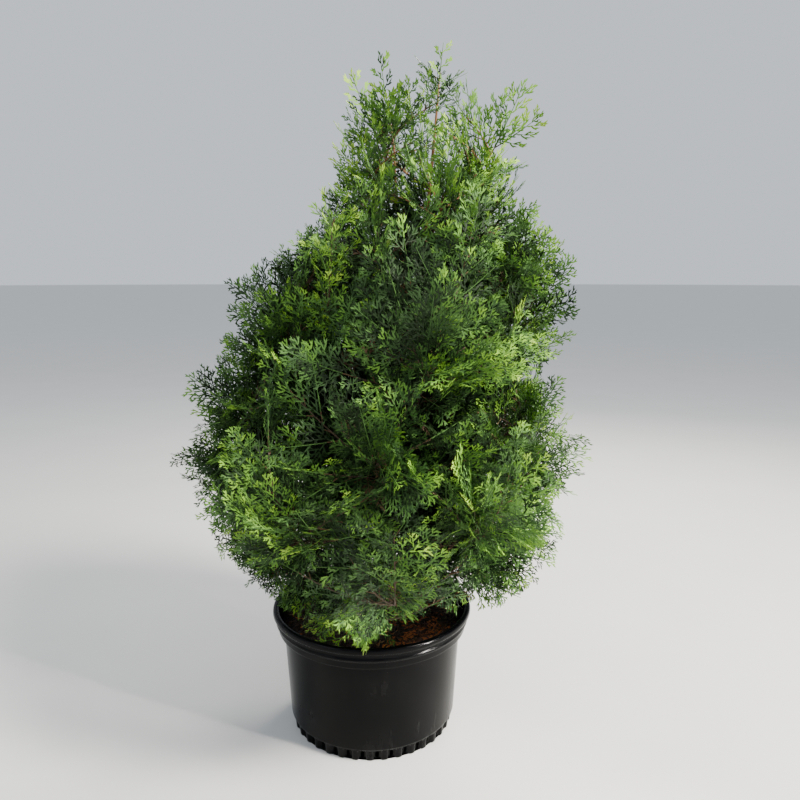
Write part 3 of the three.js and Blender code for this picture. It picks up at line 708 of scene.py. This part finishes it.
# Where the rim shows, in degrees to the right of the front, and how far inside the mouth and how steeply the
# foliage's lower edge rises from there.
RIM_SHOWS = [(-118, -72, 0, 0.75), (-72, -9, 0, 1.25), (10, 54, 26, 0.75), (54, 118, 0, 0.34)]
PLUME_CLEARANCE = 1.5
BLADE_WIDTH = 0.5
# Shares of a plume's stem, and how wide its dense heart is there. A main twig's root is sunk into the heart.
HEART_RINGS = ([0, 0.07, 0.26, 0.5, 0.76, 1], [0, 0, 0.82, 1, 0.8, 0])
SUNK = 0.3
# How much of a main twig's length is kept, try by try, until it fits in its plume's space.
TIP_TRIES, SIDE_TRIES = (1, 0.85, 0.7), (1, 0.9, 0.8, 0.7, 0.6, 0.5)


def plume_curve(start, knee, tip, tier):
    """A plume's stem, which stops where the sprays at its tip begin."""
    return start, knee, tip - STEM_STOPS * HABITS[tier][1] * unit(tip - knee)


def straight_plume(name, start, way, length, tier):
    """A plume that goes on from the tip or the side of a leader."""
    knee, tip = start + 0.2 * length * way, start + length * way
    return name, tier, plume_curve(start + SEAT * way, knee, tip, tier), tip


plumes = [(name, tier, plume_curve(start, knee, tip, tier), tip) for name, tier, start, knee, tip, _ in crown]
leader_way = heading(trunk_curve, 1)
leader_length = (PLANT_TOP - TRUNK_TIP[2]) / leader_way[2]
second_way = unit(heading(second_curve, 1) + SECOND_LEAN)
second_side = curve_at(second_curve, SECOND_SIDE_FROM)
plumes += [
    straight_plume("leader", TRUNK_TIP, leader_way, leader_length, "leader"),
    straight_plume("second_leader_1", SECOND_TIP, second_way, SECOND_LENGTH, "second"),
    straight_plume("second_leader_2", second_side, unit(SECOND_SIDE_WAY), SECOND_SIDE_LENGTH, "second"),
]

plume_lines = np.array([[*curve_at(curve, np.linspace(0, 1, 4)), tip] for _, _, curve, tip in plumes])
line_from, line_way = plume_lines[:, :-1], np.diff(plume_lines, axis=1)


def near_pot(point):
    """True within a few millimetres of the pot's wall or the potting mix, or lower."""
    out = math.hypot(point[0], point[1])
    over_mix = out < MIX_EDGE - 2 * POT_CLEARANCE and point[2] > MIX_LEVEL + POT_CLEARANCE
    return point[2] < RIM_HEIGHT + POT_CLEARANCE and out < RIM_RADIUS + POT_CLEARANCE and not over_mix


def below_hem(point):
    """True where nothing hangs: all round the pot below its rim, but for one tuft at the front."""
    turn = math.degrees(math.atan2(point[1], point[0]))
    hem = TUFT_HEM if TUFT_FROM < turn < TUFT_TO else HEM
    return point[2] < hem and math.hypot(point[0], point[1]) > MOUTH_RADIUS


def hides_rim(point):
    """True where foliage would hide the pot's rim, which shows from the front but for the tuft."""
    aside = (math.degrees(math.atan2(point[1], point[0])) + 270) % 360 - 180
    out = math.hypot(point[0], point[1])
    for begins, ends, bare, rise in RIM_SHOWS:
        past = out - MOUTH_RADIUS + bare
        hem = RIM_HEM + RIM_HEM_RISE * bare + rise * past
        if begins < aside < ends and past > 0 and point[2] < hem:
            return True
    return False


def barred(point):
    """True where foliage would run into the pot, hang below it or hide its rim."""
    return near_pot(point) or below_hem(point) or hides_rim(point)


def in_own_space(point, number):
    """True where the plume's own line is nearer than any other plume's."""
    off = point - line_from
    share = np.clip(np.sum(off * line_way, axis=2) / np.sum(line_way**2, axis=2), 0, 1)
    away = np.linalg.norm(off - share[..., None] * line_way, axis=2).min(axis=1)
    own = away[number] + 2 * PLUME_CLEARANCE
    away[number] = math.inf
    return away.min() > own


def clear_at(point, number):
    """True where a plume's main twigs may be."""
    shut = near_pot(point) or below_hem(point) or point[2] > PLANT_TOP
    return not shut and in_own_space(point, number)


def heart_reach(number, share, off):
    """How wide the plume's dense heart is at a share of its stem, towards one side."""
    _, tier, curve, _ = plumes[number]
    wide = np.interp(share, *HEART_RINGS) * HABITS[tier][0]
    kept = 1.0
    while kept > 0.1 and not clear_at(curve_at(curve, share) + off * kept * wide, number):
        kept -= 0.05
    return kept * wide


def along_twig(root, along, length, bend, share):
    """The point of a twig at a share of it, or the points at several in a column."""
    return root + length * (share * along + share**2 * bend)


def twig_fits(root, along, side, length, bend, number):
    """Tries a twig's rib and its widest places against the plume's space."""
    for share, across in ((0.3, 0), (0.58, 1), (0.58, -1), (0.87, 0.8), (0.87, -0.8), (1, 0)):
        point = root + length * (share * along + share**2 * bend + across * side * BLADE_WIDTH / 2)
        if not clear_at(point, number):
            return False
    return True


def turned_way(way, axis, angle):
    """A way turned about an axis."""
    return way @ turned_about(axis, angle)


def splayed(way, roll, splay):
    """The way out from a stem at a roll round it, and the way of a twig at a splay from the stem."""
    off = turned_way(unit(np.cross(way, (1, 0.3, 0.1))), way, roll)
    return off, way * math.cos(splay) + off * math.sin(splay)


def main_twigs(number):
    """The plume's main twigs, one at its tip and the others round its stem."""
    _, tier, curve, _ = plumes[number]
    _, spray, sag, count, _, _ = HABITS[tier]
    random = seeded(FIRST_SEED + SEED_STEP * number)
    bend = np.array((0, 0, -sag))
    twigs = []
    for i in range(count):
        at_tip = i == count - 1
        share = 0.93 if at_tip else 0.14 + 0.78 * i / (count - 2)
        way = heading(curve, share)
        splay = math.radians(2 if at_tip else SPLAY + 14 * random())
        roll = math.radians(GOLDEN_TURN * i + 24 * random())
        twist = math.radians(70 * (random() - 0.5))
        length = spray * (1 if at_tip else 0.86 + 0.24 * random() - 0.12 * share)
        for attempt, shorter in enumerate(TIP_TRIES if at_tip else SIDE_TRIES):
            turn = roll + (0 if at_tip else attempt * math.radians(TURN_ASIDE))
            off, along = splayed(way, turn, splay)
            lie = turned_way(unit(np.cross(way, off)), along, twist)
            sunk = 0 if at_tip else SUNK * heart_reach(number, share, off)
            stem_point = curve_at(curve, share)
            root = stem_point + off * sunk
            if twig_fits(root, along, lie, length * shorter, bend, number):
                reach = root + along * length * shorter - stem_point
                along = unit(reach)
                face = unit(np.cross(along, lie))
                twigs.append((stem_point, along, face, np.linalg.norm(reach), bend))
                break
    return twigs


def side_twig(curve, share, roll, splay, twist, length, bend):
    """A twig at a share of a stem: its root, its way, the face of its sprays, its length and its bend."""
    way = heading(curve, share)
    off, along = splayed(way, roll, splay)
    lie = turned_way(unit(np.cross(way, off)), along, twist)
    return curve_at(curve, share), along, unit(np.cross(along, lie)), length, bend


def finer_twigs(number):
    """Shorter twigs between the main ones, by the same golden turn, which fill the plume."""
    _, tier, curve, _ = plumes[number]
    _, spray, sag, _, count, _ = HABITS[tier]
    random = seeded(FINER_SEED + SEED_STEP * number)
    bend = np.array((0, 0, -sag))
    twigs = []
    for i in range(count):
        share = 0.1 + 0.88 * i / (count - 1)
        splay = math.radians(66 - 32 * share + 16 * random())
        roll = math.radians(GOLDEN_TURN * i + 40 * random())
        twist = math.radians(110 * (random() - 0.5))
        length = spray * (0.62 + 0.3 * random()) * (1 - 0.3 * share)
        twigs.append(side_twig(curve, share, roll, splay, twist, length, bend))
    return twigs


# Side shoots rise from the stems to places spread evenly over the crown's surface. Its outline: heights, how
# far right of the pot's middle the crown's own middle stands at each, and its half width there.
CROWN_OUTLINE = np.array([
    (250, 320, 390, 450, 600, 750, 820, 900, 1000, 1045, 1090, 1170, 1250, 1340, 1390, 1440, 1480),
    (30, 56, 38, 12, 26, 14, 20, 58, 84, 106, 108, 117, 100, 124, 130, 124, 138),
    (180, 280, 330, 382, 416, 376, 350, 335, 338, 316, 262, 216, 184, 180, 172, 120, 50),
])
SHOOTS, SHOOT_LOW, SHOOT_HIGH, SHOOT_SPRAY_ROOM = 215, 330, 1330, 75
SHOOT_TWIGS, OPEN_SHOOT_TWIGS, SHOOT_LIFT = 8, 6, 0.1
# What counts against a stem as the start of a shoot, besides its distance: a way that is too flat or too
# steep, and a start too close to the shoot's end.
FLATTEST, FLAT_COST, STEEPEST, STEEP_COST, TOO_CLOSE, CLOSE_COST = 0.35, 320, 0.9, 200, 70, 120
# Two fresh shoots hang over the pot's mouth at the front, and one stands upright at the front on the left.
HANGING_TIPS, HANGING_BELOW, HANGING_FRESH = [(-112, -138, 268), (-66, -168, 254)], 300, 1.3
UPRIGHT_FROM, UPRIGHT_KNEE, UPRIGHT_TIP = (-50, -140, 830), (-68, -222, 900), (-60, -200, 1105)
UPRIGHT_TWIGS, UPRIGHT_FRESH = 24, 1.3
OPEN_FROM, OPEN_DEPTH = 1150, 0.72
CROWN_LOOSE, MAIN_LOOSE, SHORTEST_TWIG = 1.08, 1.13, 45
INNER_LOW, INNER_HIGH, INNER_STEP = 330, 1200, 5
SHOOT_RADIUS, YOUNG_WOOD_FROM = 1.9, 1120


def crown_at(height):
    """How far right the crown's middle stands at a height, and the crown's half width."""
    heights, middles, half_widths = CROWN_OUTLINE
    return np.interp(height, heights, middles), np.interp(height, heights, half_widths)


def out_share(point):
    """How far out a point lies in the crown, from 0 in its middle to 1 at its surface."""
    middle, half = crown_at(point[2])
    return math.hypot(point[0] - middle, point[1]) / half


# Dark gaps part the plumes at the front, where the fans are cut back and given painted shade, each given by
# its middle to the right and up, and its half sizes.
GAPS = [(80, 960, 62, 130), (-45, 790, 60, 110), (115, 750, 52, 80), (60, 625, 75, 42)]
GAP_DEPTH = 0.24


def in_gap(point):
    """How far inside one of the front's gaps a point lies, from 0 to 1."""
    if point[1] > 0:
        return 0
    inside = max(1 - ((point[0] - x) / wide) ** 2 - ((point[2] - z) / high) ** 2 for x, z, wide, high in GAPS)
    return min(max(1.5 * inside, 0), 1)


def shoot_targets():
    """Where the side shoots end, an equal patch of the crown's surface for each."""
    draw = np.random.default_rng(31)
    heights = np.linspace(SHOOT_LOW, SHOOT_HIGH, 400)
    area = np.cumsum(crown_at(heights)[1])
    targets = []
    for k in range(SHOOTS):
        height = np.interp((k + 0.5) / SHOOTS * area[-1], area, heights)
        middle, half = crown_at(height)
        turn = math.radians(GOLDEN_TURN * k) + draw.normal(0, 0.08)
        out = (half - SHOOT_SPRAY_ROOM) * draw.uniform(0.9, 1.06)
        targets.append(np.array((middle + out * math.cos(turn), out * math.sin(turn), height)))
    return targets


stem_spots = []
for number, (_, tier, curve, _) in enumerate(plumes):
    for share in np.linspace(0.08, 0.92, 12):
        stem_spots.append((number, curve_at(curve, share), heading(curve, share)))
spot_places = np.array([spot[1] for spot in stem_spots])


def nearest_spot(place):
    """The spot on the stems that is nearest to a place."""
    return stem_spots[int(np.argmin(np.linalg.norm(spot_places - place, axis=1)))]


shoots = []
for target in shoot_targets() + [np.array(tip) for tip in HANGING_TIPS]:
    off = target - spot_places
    away = np.linalg.norm(off, axis=1)
    rise = off[:, 2] / away
    cost = away + FLAT_COST * np.maximum(0, FLATTEST - rise) + STEEP_COST * np.maximum(0, rise - STEEPEST)
    cost += CLOSE_COST * (away < TOO_CLOSE)
    number, start, way = stem_spots[int(np.argmin(cost))]
    span = np.linalg.norm(target - start)
    knee = start + 0.5 * span * unit(0.4 * way + unit(target - start) * (1, 1, 0.5))
    shoots.append((number, (start, knee, target)))
number, start, _ = nearest_spot(UPRIGHT_FROM)
upright_shoot = (number, (start, np.array(UPRIGHT_KNEE), np.array(UPRIGHT_TIP)))


def shoot_twigs(number, curve, draw):
    """A shoot's twigs lie in one plane, left and right in turn, with one more at its tip."""
    _, spray, sag, _, _, _ = HABITS[plumes[number][1]]
    bend = np.array((0, 0, SHOOT_LIFT - 0.7 * sag))
    upright = unit(draw.normal(0, 1, 3) + (0, 0, 0.4))
    found = []
    count = OPEN_SHOOT_TWIGS if curve[-1][2] > OPEN_FROM else SHOOT_TWIGS
    for i in range(count):
        at_tip = i == count - 1
        share = 1 if at_tip else 0.3 + 0.66 * i / (count - 2)
        way = heading(curve, share)
        face = unit(upright - way * (upright @ way))
        face = turned_way(face, way, draw.normal(0, 0.35))
        lean = 0 if at_tip else (1 if i % 2 else -1) * math.radians(draw.uniform(40, 62) - 12 * share)
        along = turned_way(way, face, lean)
        length = spray * draw.uniform(0.58, 0.8) * (1 if at_tip else 1.05 - 0.25 * share)
        root = curve_at(curve, share)
        found.append((root, along, face, length, bend))
    return found


def upright_twigs(curve, draw):
    """Short steep twigs all round the shoot that stands upright at the front."""
    found = []
    for k in range(UPRIGHT_TWIGS):
        share = 0.3 + 0.7 * k / (UPRIGHT_TWIGS - 1)
        roll, splay = math.radians(GOLDEN_TURN * k), math.radians(draw.uniform(20, 34))
        twist = draw.normal(0, 0.5)
        length = draw.uniform(58, 84)
        found.append(side_twig(curve, share, roll, splay, twist, length, np.array((0, 0, 0.06))))
    return found


def inner_twigs(draw):
    """Shaded twigs all the way up the trunk."""
    found = []
    for k, height in enumerate(range(INNER_LOW, INNER_HIGH, INNER_STEP)):
        root = trunk_at(height)
        turn = math.radians(GOLDEN_TURN * k)
        along = unit(np.array((math.cos(turn), math.sin(turn), draw.uniform(0.2, 0.9))))
        lie = turned_way(unit(np.cross(along, (0, 0, 1))), along, draw.uniform(-1.4, 1.4))
        length = draw.uniform(0.45, 0.75) * crown_at(height + 60)[1]
        found.append((root, along, unit(np.cross(along, lie)), length, np.array((0, 0, 0.05))))
    return found


def cut_back(root, along, face, length, bend, loose, gap_depth):
    """Ends a twig where it would hang too low or stand out of the crown; None if little is left."""
    kept = 0
    for share in np.linspace(0.1, 1, 10):
        point = along_twig(root, along, length, bend, share)
        if barred(point) or point[2] > PLANT_TOP or out_share(point) > loose - gap_depth * in_gap(point):
            break
        kept = share
    if kept * length < SHORTEST_TWIG:
        return None
    return root, along, face, kept * length, kept * bend


# Every twig with its plume's number, how far it may stand out of the crown, how deep the gaps cut into it,
# and how much fresher it is than others.
draw = np.random.default_rng(32)
planned = []
for number, (_, tier, _, _) in enumerate(plumes):
    loose = math.inf if tier in ("leader", "top") else MAIN_LOOSE
    planned += [(number, loose, 0, 0, twig) for twig in main_twigs(number)]
for number in range(len(plumes)):
    planned += [(number, CROWN_LOOSE, GAP_DEPTH, 0, twig) for twig in finer_twigs(number)]
for number, curve in shoots:
    fresh = HANGING_FRESH if curve[-1][2] < HANGING_BELOW else 0
    planned += [(number, CROWN_LOOSE, GAP_DEPTH, fresh, twig) for twig in shoot_twigs(number, curve, draw)]
for twig in inner_twigs(draw):
    planned.append((nearest_spot(twig[0])[0], CROWN_LOOSE, GAP_DEPTH, 0, twig))
number, curve = upright_shoot
planned += [(number, CROWN_LOOSE, 0, UPRIGHT_FRESH, twig) for twig in upright_twigs(curve, draw)]
twigs = []
for number, loose, gap_depth, fresh, twig in planned:
    twig = cut_back(*twig, loose, gap_depth)
    if twig is not None:
        twigs.append((number, gap_depth, fresh, *twig))


def even_taper(thick, thin, steps, sides):
    """A plain round limb's radius for each ring and side."""
    return np.linspace(thick, thin, steps)[:, None] * np.ones((1, sides))


def slim_wood(curve, thick, thin, steps, sides):
    """A plain round stem along a curve."""
    points = curve_at(curve, np.linspace(0, 1, steps))
    return wood(points, even_taper(thick, thin, steps, sides), YOUNG_WOOD_FROM)


stem_parts = []
for _, curve in shoots + [upright_shoot]:
    stem_parts.append(slim_wood(curve, SHOOT_RADIUS, STEM_TIP_RADIUS, steps=12, sides=6))
for _, _, curve, _ in plumes:
    stem_parts.append(slim_wood(curve, STEM_RADIUS, STEM_TIP_RADIUS, steps=18, sides=8))
shaded_bark = bark_finish("shaded_bark", (0.070, 0.046, 0.026), (0.042, 0.022, 0.012))
make_piece("plume_stems", stem_parts, [shaded_bark, young_bark])

olive_bark = bark_finish("olive_twig_bark", (0.085, 0.070, 0.026), (0.11, 0.050, 0.020))
green_bark = bark_finish("green_twig_skin", (0.060, 0.150, 0.018), (0.035, 0.100, 0.014))
twig_shares = np.linspace(0, 0.94, TWIG_STEPS)[:, None]
twig_radii = even_taper(TWIG_RADIUS, TWIG_TIP_RADIUS, TWIG_STEPS, TWIG_SIDES)
twig_parts = []
for _, _, _, root, along, _, length, bend in twigs:
    points, quads, caps = limb(along_twig(root, along, length, bend, twig_shares), twig_radii)
    green = (np.arange(len(quads)) // TWIG_SIDES >= 1).astype(int)
    twig_parts.append((points, [(quads, green), (caps, 1)]))
make_piece("fine_twigs", twig_parts, [olive_bark, green_bark])

# Sprays of foliage
# Flat fans of tiny overlapping scale leaves, set left and right along every twig and one at its end. They are
# dark blue-green inside the crown, partly as painted shade, fresh green outside, lighter again on the right,
# in front and near the top as painted light, and yellow-green where they have just grown; a few of the
# innermost are dead and brown.
FAN_LENGTHS, FAN_KINDS = [90, 70, 52, 38], 3
FAN_PITCH, SHORTEST_FAN, LONGEST_FAN = 12.5, 30, 84
# How much of a twig's length counts towards its number of fans, where on it they begin, over how much of it
# they stand, and where the fan at its end begins.
FANNED, FANS_FROM, FANS_OVER, END_FAN_FROM = 0.76, 0.12, 0.74, 0.74
# How far a fan leans out from its twig, in degrees, how much less it does at the twig's tip, and give or take
# how much; then how loosely it points and rolls.
LEAN, LESS_LEAN, LEAN_CHANCE, LOOSE_AIM, LOOSE_ROLL = 50, 16, 7, 0.13, 0.3
# A fan's size for a twig of length 1: at its end, at its root, and how much less at its tip.
END_FAN, ROOT_FAN, LESS_FAN, SIZE_CHANCE = 0.3, 0.46, 0.2, (0.86, 1.14)
FAN_BEND, FAN_CUP = 0.8, (-0.2, 0.9)
CROWN_EDGE, NARROW_FROM = 1.14, 900
# From how far out in the crown fans are made plain or fine. Fans in a gap, or high up where the crown is
# narrow, show from further in and count as that much further out.
PLAIN_FROM, FINE_FROM, GAP_SHOWS, NARROW_SHOWS = 0.42, 0.54, 0.36, 0.1
# From darkest to lightest: partly the real range from old to freshly grown leaves, partly painted light and
# shade, lit and shaded copies of one green.
GREENS = [
    ("leaf_shade", (0.008, 0.018, 0.005)),
    ("leaf_deep", (0.022, 0.052, 0.014)),
    ("leaf_green", (0.050, 0.115, 0.024)),
    ("leaf_mid", (0.090, 0.200, 0.025)),
    ("leaf_fresh", (0.168, 0.333, 0.032)),
    ("leaf_tip", (0.290, 0.470, 0.052)),
]
BROWNS = [("leaf_dead", (0.045, 0.027, 0.014)), ("leaf_dead_tip", (0.078, 0.049, 0.025))]
# The young growth on a fan is one step up from the fan's own colour, so no fan has the last green itself.
LAST_TINT = len(GREENS) - 2
DEAD_WITHIN, DEAD_SHARE, DEAD_SHARE_IN_GAP = 0.75, 0.03, 0.1
# How many steps up the greens a fan stands, what adds to that and what takes from it: further out it is
# fresher and has painted light, further in painted shade; on the right, in front and near the top painted
# light;
# in a gap painted shade. At the front, sprays just above the pot are fresh, and those in a belt over them get
# painted shade, each twig in its own measure.
GREEN_STEP, MOOD, CHANCE = 1.38, 1.5, 1.25
FRESHER_OR_PAINTED_LIGHT = {"outside": 3.2, "right": 0.3, "front": 0.6, "top": 1.3, "hem": 0.8}
# Painted shade on the fans in a gap and in the belt over the pot.
PAINTED_SHADE = {"gap": 1.5, "belt": 0.8}
HEM_TO, BELT_FROM, BELT_TO = 350, 430, 560


def leaf_finish(name, colour):
    """Waxy scale leaves: one plain green, with the gloss and relief of the tiny overlapping scales."""
    finish, tree, shader = new_finish(name, Base_Color=(*colour, 1), Specular_IOR_Level=0.16)
    scales = speckle(tree, 620, rough=0.6, layers=2)
    tree.links.new(between(tree, scales, 0.3, 0.7, 0.44, 0.66), shader.inputs["Roughness"])
    raised(tree, shader, scales, 0.5, 0.0012)
    return finish


leaf_finishes = [leaf_finish(name, colour) for name, colour in GREENS + BROWNS]
draw = np.random.default_rng(21)
fan_shapes = {
    (grade, slender, size): [grow_fan(FAN_LENGTHS[size], draw, grade, slender) for _ in range(FAN_KINDS)]
    for grade in GRADES for slender in (True, False) for size in range(len(FAN_LENGTHS))
}


def green_and_painted_light_step(spot, depth, gap, mood, open_crown):
    """How many steps up the greens a fan stands at a place, before chance, with painted light and painted
    shade in it.
    """
    middle, half = crown_at(spot[2])
    step = GREEN_STEP + FRESHER_OR_PAINTED_LIGHT["outside"] * (depth - 0.8) + FRESHER_OR_PAINTED_LIGHT["right"] * (spot[0] - middle) / half
    step += FRESHER_OR_PAINTED_LIGHT["front"] * max(0, -spot[1] / half) ** 2 - PAINTED_SHADE["gap"] * gap + mood
    step += FRESHER_OR_PAINTED_LIGHT["top"] * open_crown
    if spot[1] < 0 and spot[2] < HEM_TO:
        return step + FRESHER_OR_PAINTED_LIGHT["hem"]
    if spot[1] < 0:
        step += np.interp(spot[2], (BELT_FROM, BELT_TO), (1, 0)) * PAINTED_SHADE["belt"] * (mood - 1)
    return step


fans = {}
for number, gap_depth, fresh, root, along, face, length, bend in twigs:
    tier = plumes[number][1]
    slender = HABITS[tier][5]
    mood = MOOD * draw.uniform(-1, 1) ** 2 * draw.choice((-1, 1))
    side = np.cross(face, along)
    count = max(3, int(FANNED * length / FAN_PITCH))
    for k in range(count + 1):
        at_end = k == count
        share = END_FAN_FROM if at_end else FANS_FROM + FANS_OVER * k / count
        place = along_twig(root, along, length, bend, share)
        lean = 0
        if not at_end:
            chance = draw.uniform(-LEAN_CHANCE, LEAN_CHANCE)
            lean = (1 if k % 2 else -1) * math.radians(LEAN - LESS_LEAN * share + chance)
        ahead = unit(math.cos(lean) * along + math.sin(lean) * side + 2 * share * bend * math.cos(lean))
        ahead = unit(ahead + face * draw.normal(0, LOOSE_AIM))
        fan_face = turned_way(unit(face - ahead * (face @ ahead)), ahead, draw.normal(0, LOOSE_ROLL))
        size = END_FAN * length if at_end else length * (ROOT_FAN - LESS_FAN * share)
        size = min(max(size * draw.uniform(*SIZE_CHANCE), SHORTEST_FAN), LONGEST_FAN)
        tip = place + ahead * size
        middle = place + 0.5 * size * ahead
        if barred(middle) or barred(tip) or tip[2] > PLANT_TOP:
            continue
        depth = out_share(middle)
        gap = in_gap(middle)
        if depth > CROWN_EDGE - gap_depth * gap and tier not in ("leader", "top"):
            continue
        open_crown = place[2] > OPEN_FROM
        if open_crown:
            depth = max(depth, OPEN_DEPTH)
        seen = depth + GAP_SHOWS * gap + NARROW_SHOWS * (middle[2] > NARROW_FROM)
        grade = "fine" if seen > FINE_FROM else "plain" if seen > PLAIN_FROM else "coarse"
        if open_crown:
            grade = "open"
        kind = int(np.argmin(np.abs(np.subtract(FAN_LENGTHS, size))))
        step = green_and_painted_light_step(middle, depth, gap, mood, open_crown) + draw.uniform(-CHANCE, CHANCE) + fresh
        tint = min(max(int(step), 0), LAST_TINT)
        dead_share = DEAD_SHARE + DEAD_SHARE_IN_GAP * gap
        if depth < DEAD_WITHIN and not open_crown and draw.uniform() < dead_share:
            tint = len(GREENS)
        key = (tier, grade, slender, kind, int(draw.integers(FAN_KINDS)))
        cup = draw.uniform(*FAN_CUP)
        fans.setdefault(key, []).append((place, ahead, fan_face, size, FAN_BEND * bend, cup, tint))

tier_nodes = {}
for name, tier, _, _ in plumes:
    tier_nodes.setdefault(tier, []).append("foliage_" + name)
for tier, nodes in tier_nodes.items():
    parts = []
    for (fan_tier, grade, slender, kind, shape), placed in fans.items():
        if fan_tier != tier:
            continue
        fan = fan_shapes[grade, slender, kind][shape]
        root, ahead, face, size, bend, cup, tint = (np.array(column) for column in zip(*placed))
        points, faces = copies(fan, root, ahead, face, size, bend, cup)
        young = fan[2]
        parts.append((points, [(faces, (tint[:, None] + young).ravel())]))
    sprays = make_piece("sprays_" + tier, parts, leaf_finishes)
    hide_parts(*nodes)

# Studio floor
# A plain pale floor just under the pot, matt and faintly clouded. It is wide enough to reach the horizon from
# every side.
FLOOR_RADIUS, FLOOR_SIDES, FLOOR_LEVEL = 80, 96, -0.0005
floor_mesh = bpy.data.meshes.new("studio_floor")
rim = [(FLOOR_RADIUS * math.cos(a), FLOOR_RADIUS * math.sin(a), FLOOR_LEVEL) for a in around(FLOOR_SIDES)]
floor_mesh.from_pydata(rim, [], [tuple(range(FLOOR_SIDES))])
floor = bpy.data.objects.new("studio_floor", floor_mesh)
bpy.context.scene.collection.objects.link(floor)
floor_finish, tree, shader = new_finish("pale_floor", Roughness=0.9)
shade = blended(tree, speckle(tree, 3), (0.60, 0.60, 0.59), (0.66, 0.66, 0.65))
tree.links.new(shade, shader.inputs["Base Color"])
floor_mesh.materials.append(floor_finish)

# Light and camera
# A large soft key from the upper right, a weaker one from behind that catches the tips, a narrow one low on
# the right for the pot's sheen, a faint fill from the left, and a pale sky all round. The camera stands where
# the photograph was taken from, a little above the middle of the crown.
world = bpy.data.worlds.new("pale_sky")
bpy.context.scene.world = world
world.use_nodes = True
sky = world.node_tree.nodes["Background"]
sky.inputs["Color"].default_value = (0.86, 0.92, 1.0, 1)
sky.inputs["Strength"].default_value = 0.86


def soft_light(name, place, aim, width, height, power, colour, spread=180):
    """A soft lamp at a place, turned towards its aim."""
    lamp = bpy.data.lights.new(name, "AREA")
    lamp.shape = "ELLIPSE"
    lamp.size = width
    lamp.size_y = height
    lamp.spread = math.radians(spread)
    lamp.energy = power
    lamp.color = colour
    light = bpy.data.objects.new(name, lamp)
    bpy.context.scene.collection.objects.link(light)
    light.location = place
    light.rotation_euler = (Vector(aim) - Vector(place)).to_track_quat("-Z", "Y").to_euler()


SUNLIGHT = (1.0, 0.95, 0.86)
soft_light("key", (2.15, -1.3, 3.2), (0.06, 0, 0.8), 0.9, 0.9, 455, SUNLIGHT)
soft_light("back", (1.2, 2.4, 2.6), (0.06, 0, 0.9), 1.0, 1.0, 110, SUNLIGHT)
soft_light("side", (1.9, -1.1, 0.5), (0.12, -0.19, 0.22), 0.12, 0.6, 2.6, (1.0, 0.96, 0.9), spread=20)
soft_light("fill", (-2.6, -2.2, 1.6), (0.06, 0, 0.6), 2.0, 2.0, 28, (0.9, 0.95, 1.0))

camera_lens = bpy.data.cameras.new("camera")
camera_lens.lens = 32.77
camera_lens.sensor_width = 36
camera = bpy.data.objects.new("camera", camera_lens)
camera.location = (0.064, -1.570, 1.014)
camera.rotation_euler = (math.radians(80.24), 0, 0)
bpy.context.scene.collection.objects.link(camera)
bpy.context.scene.camera = camera
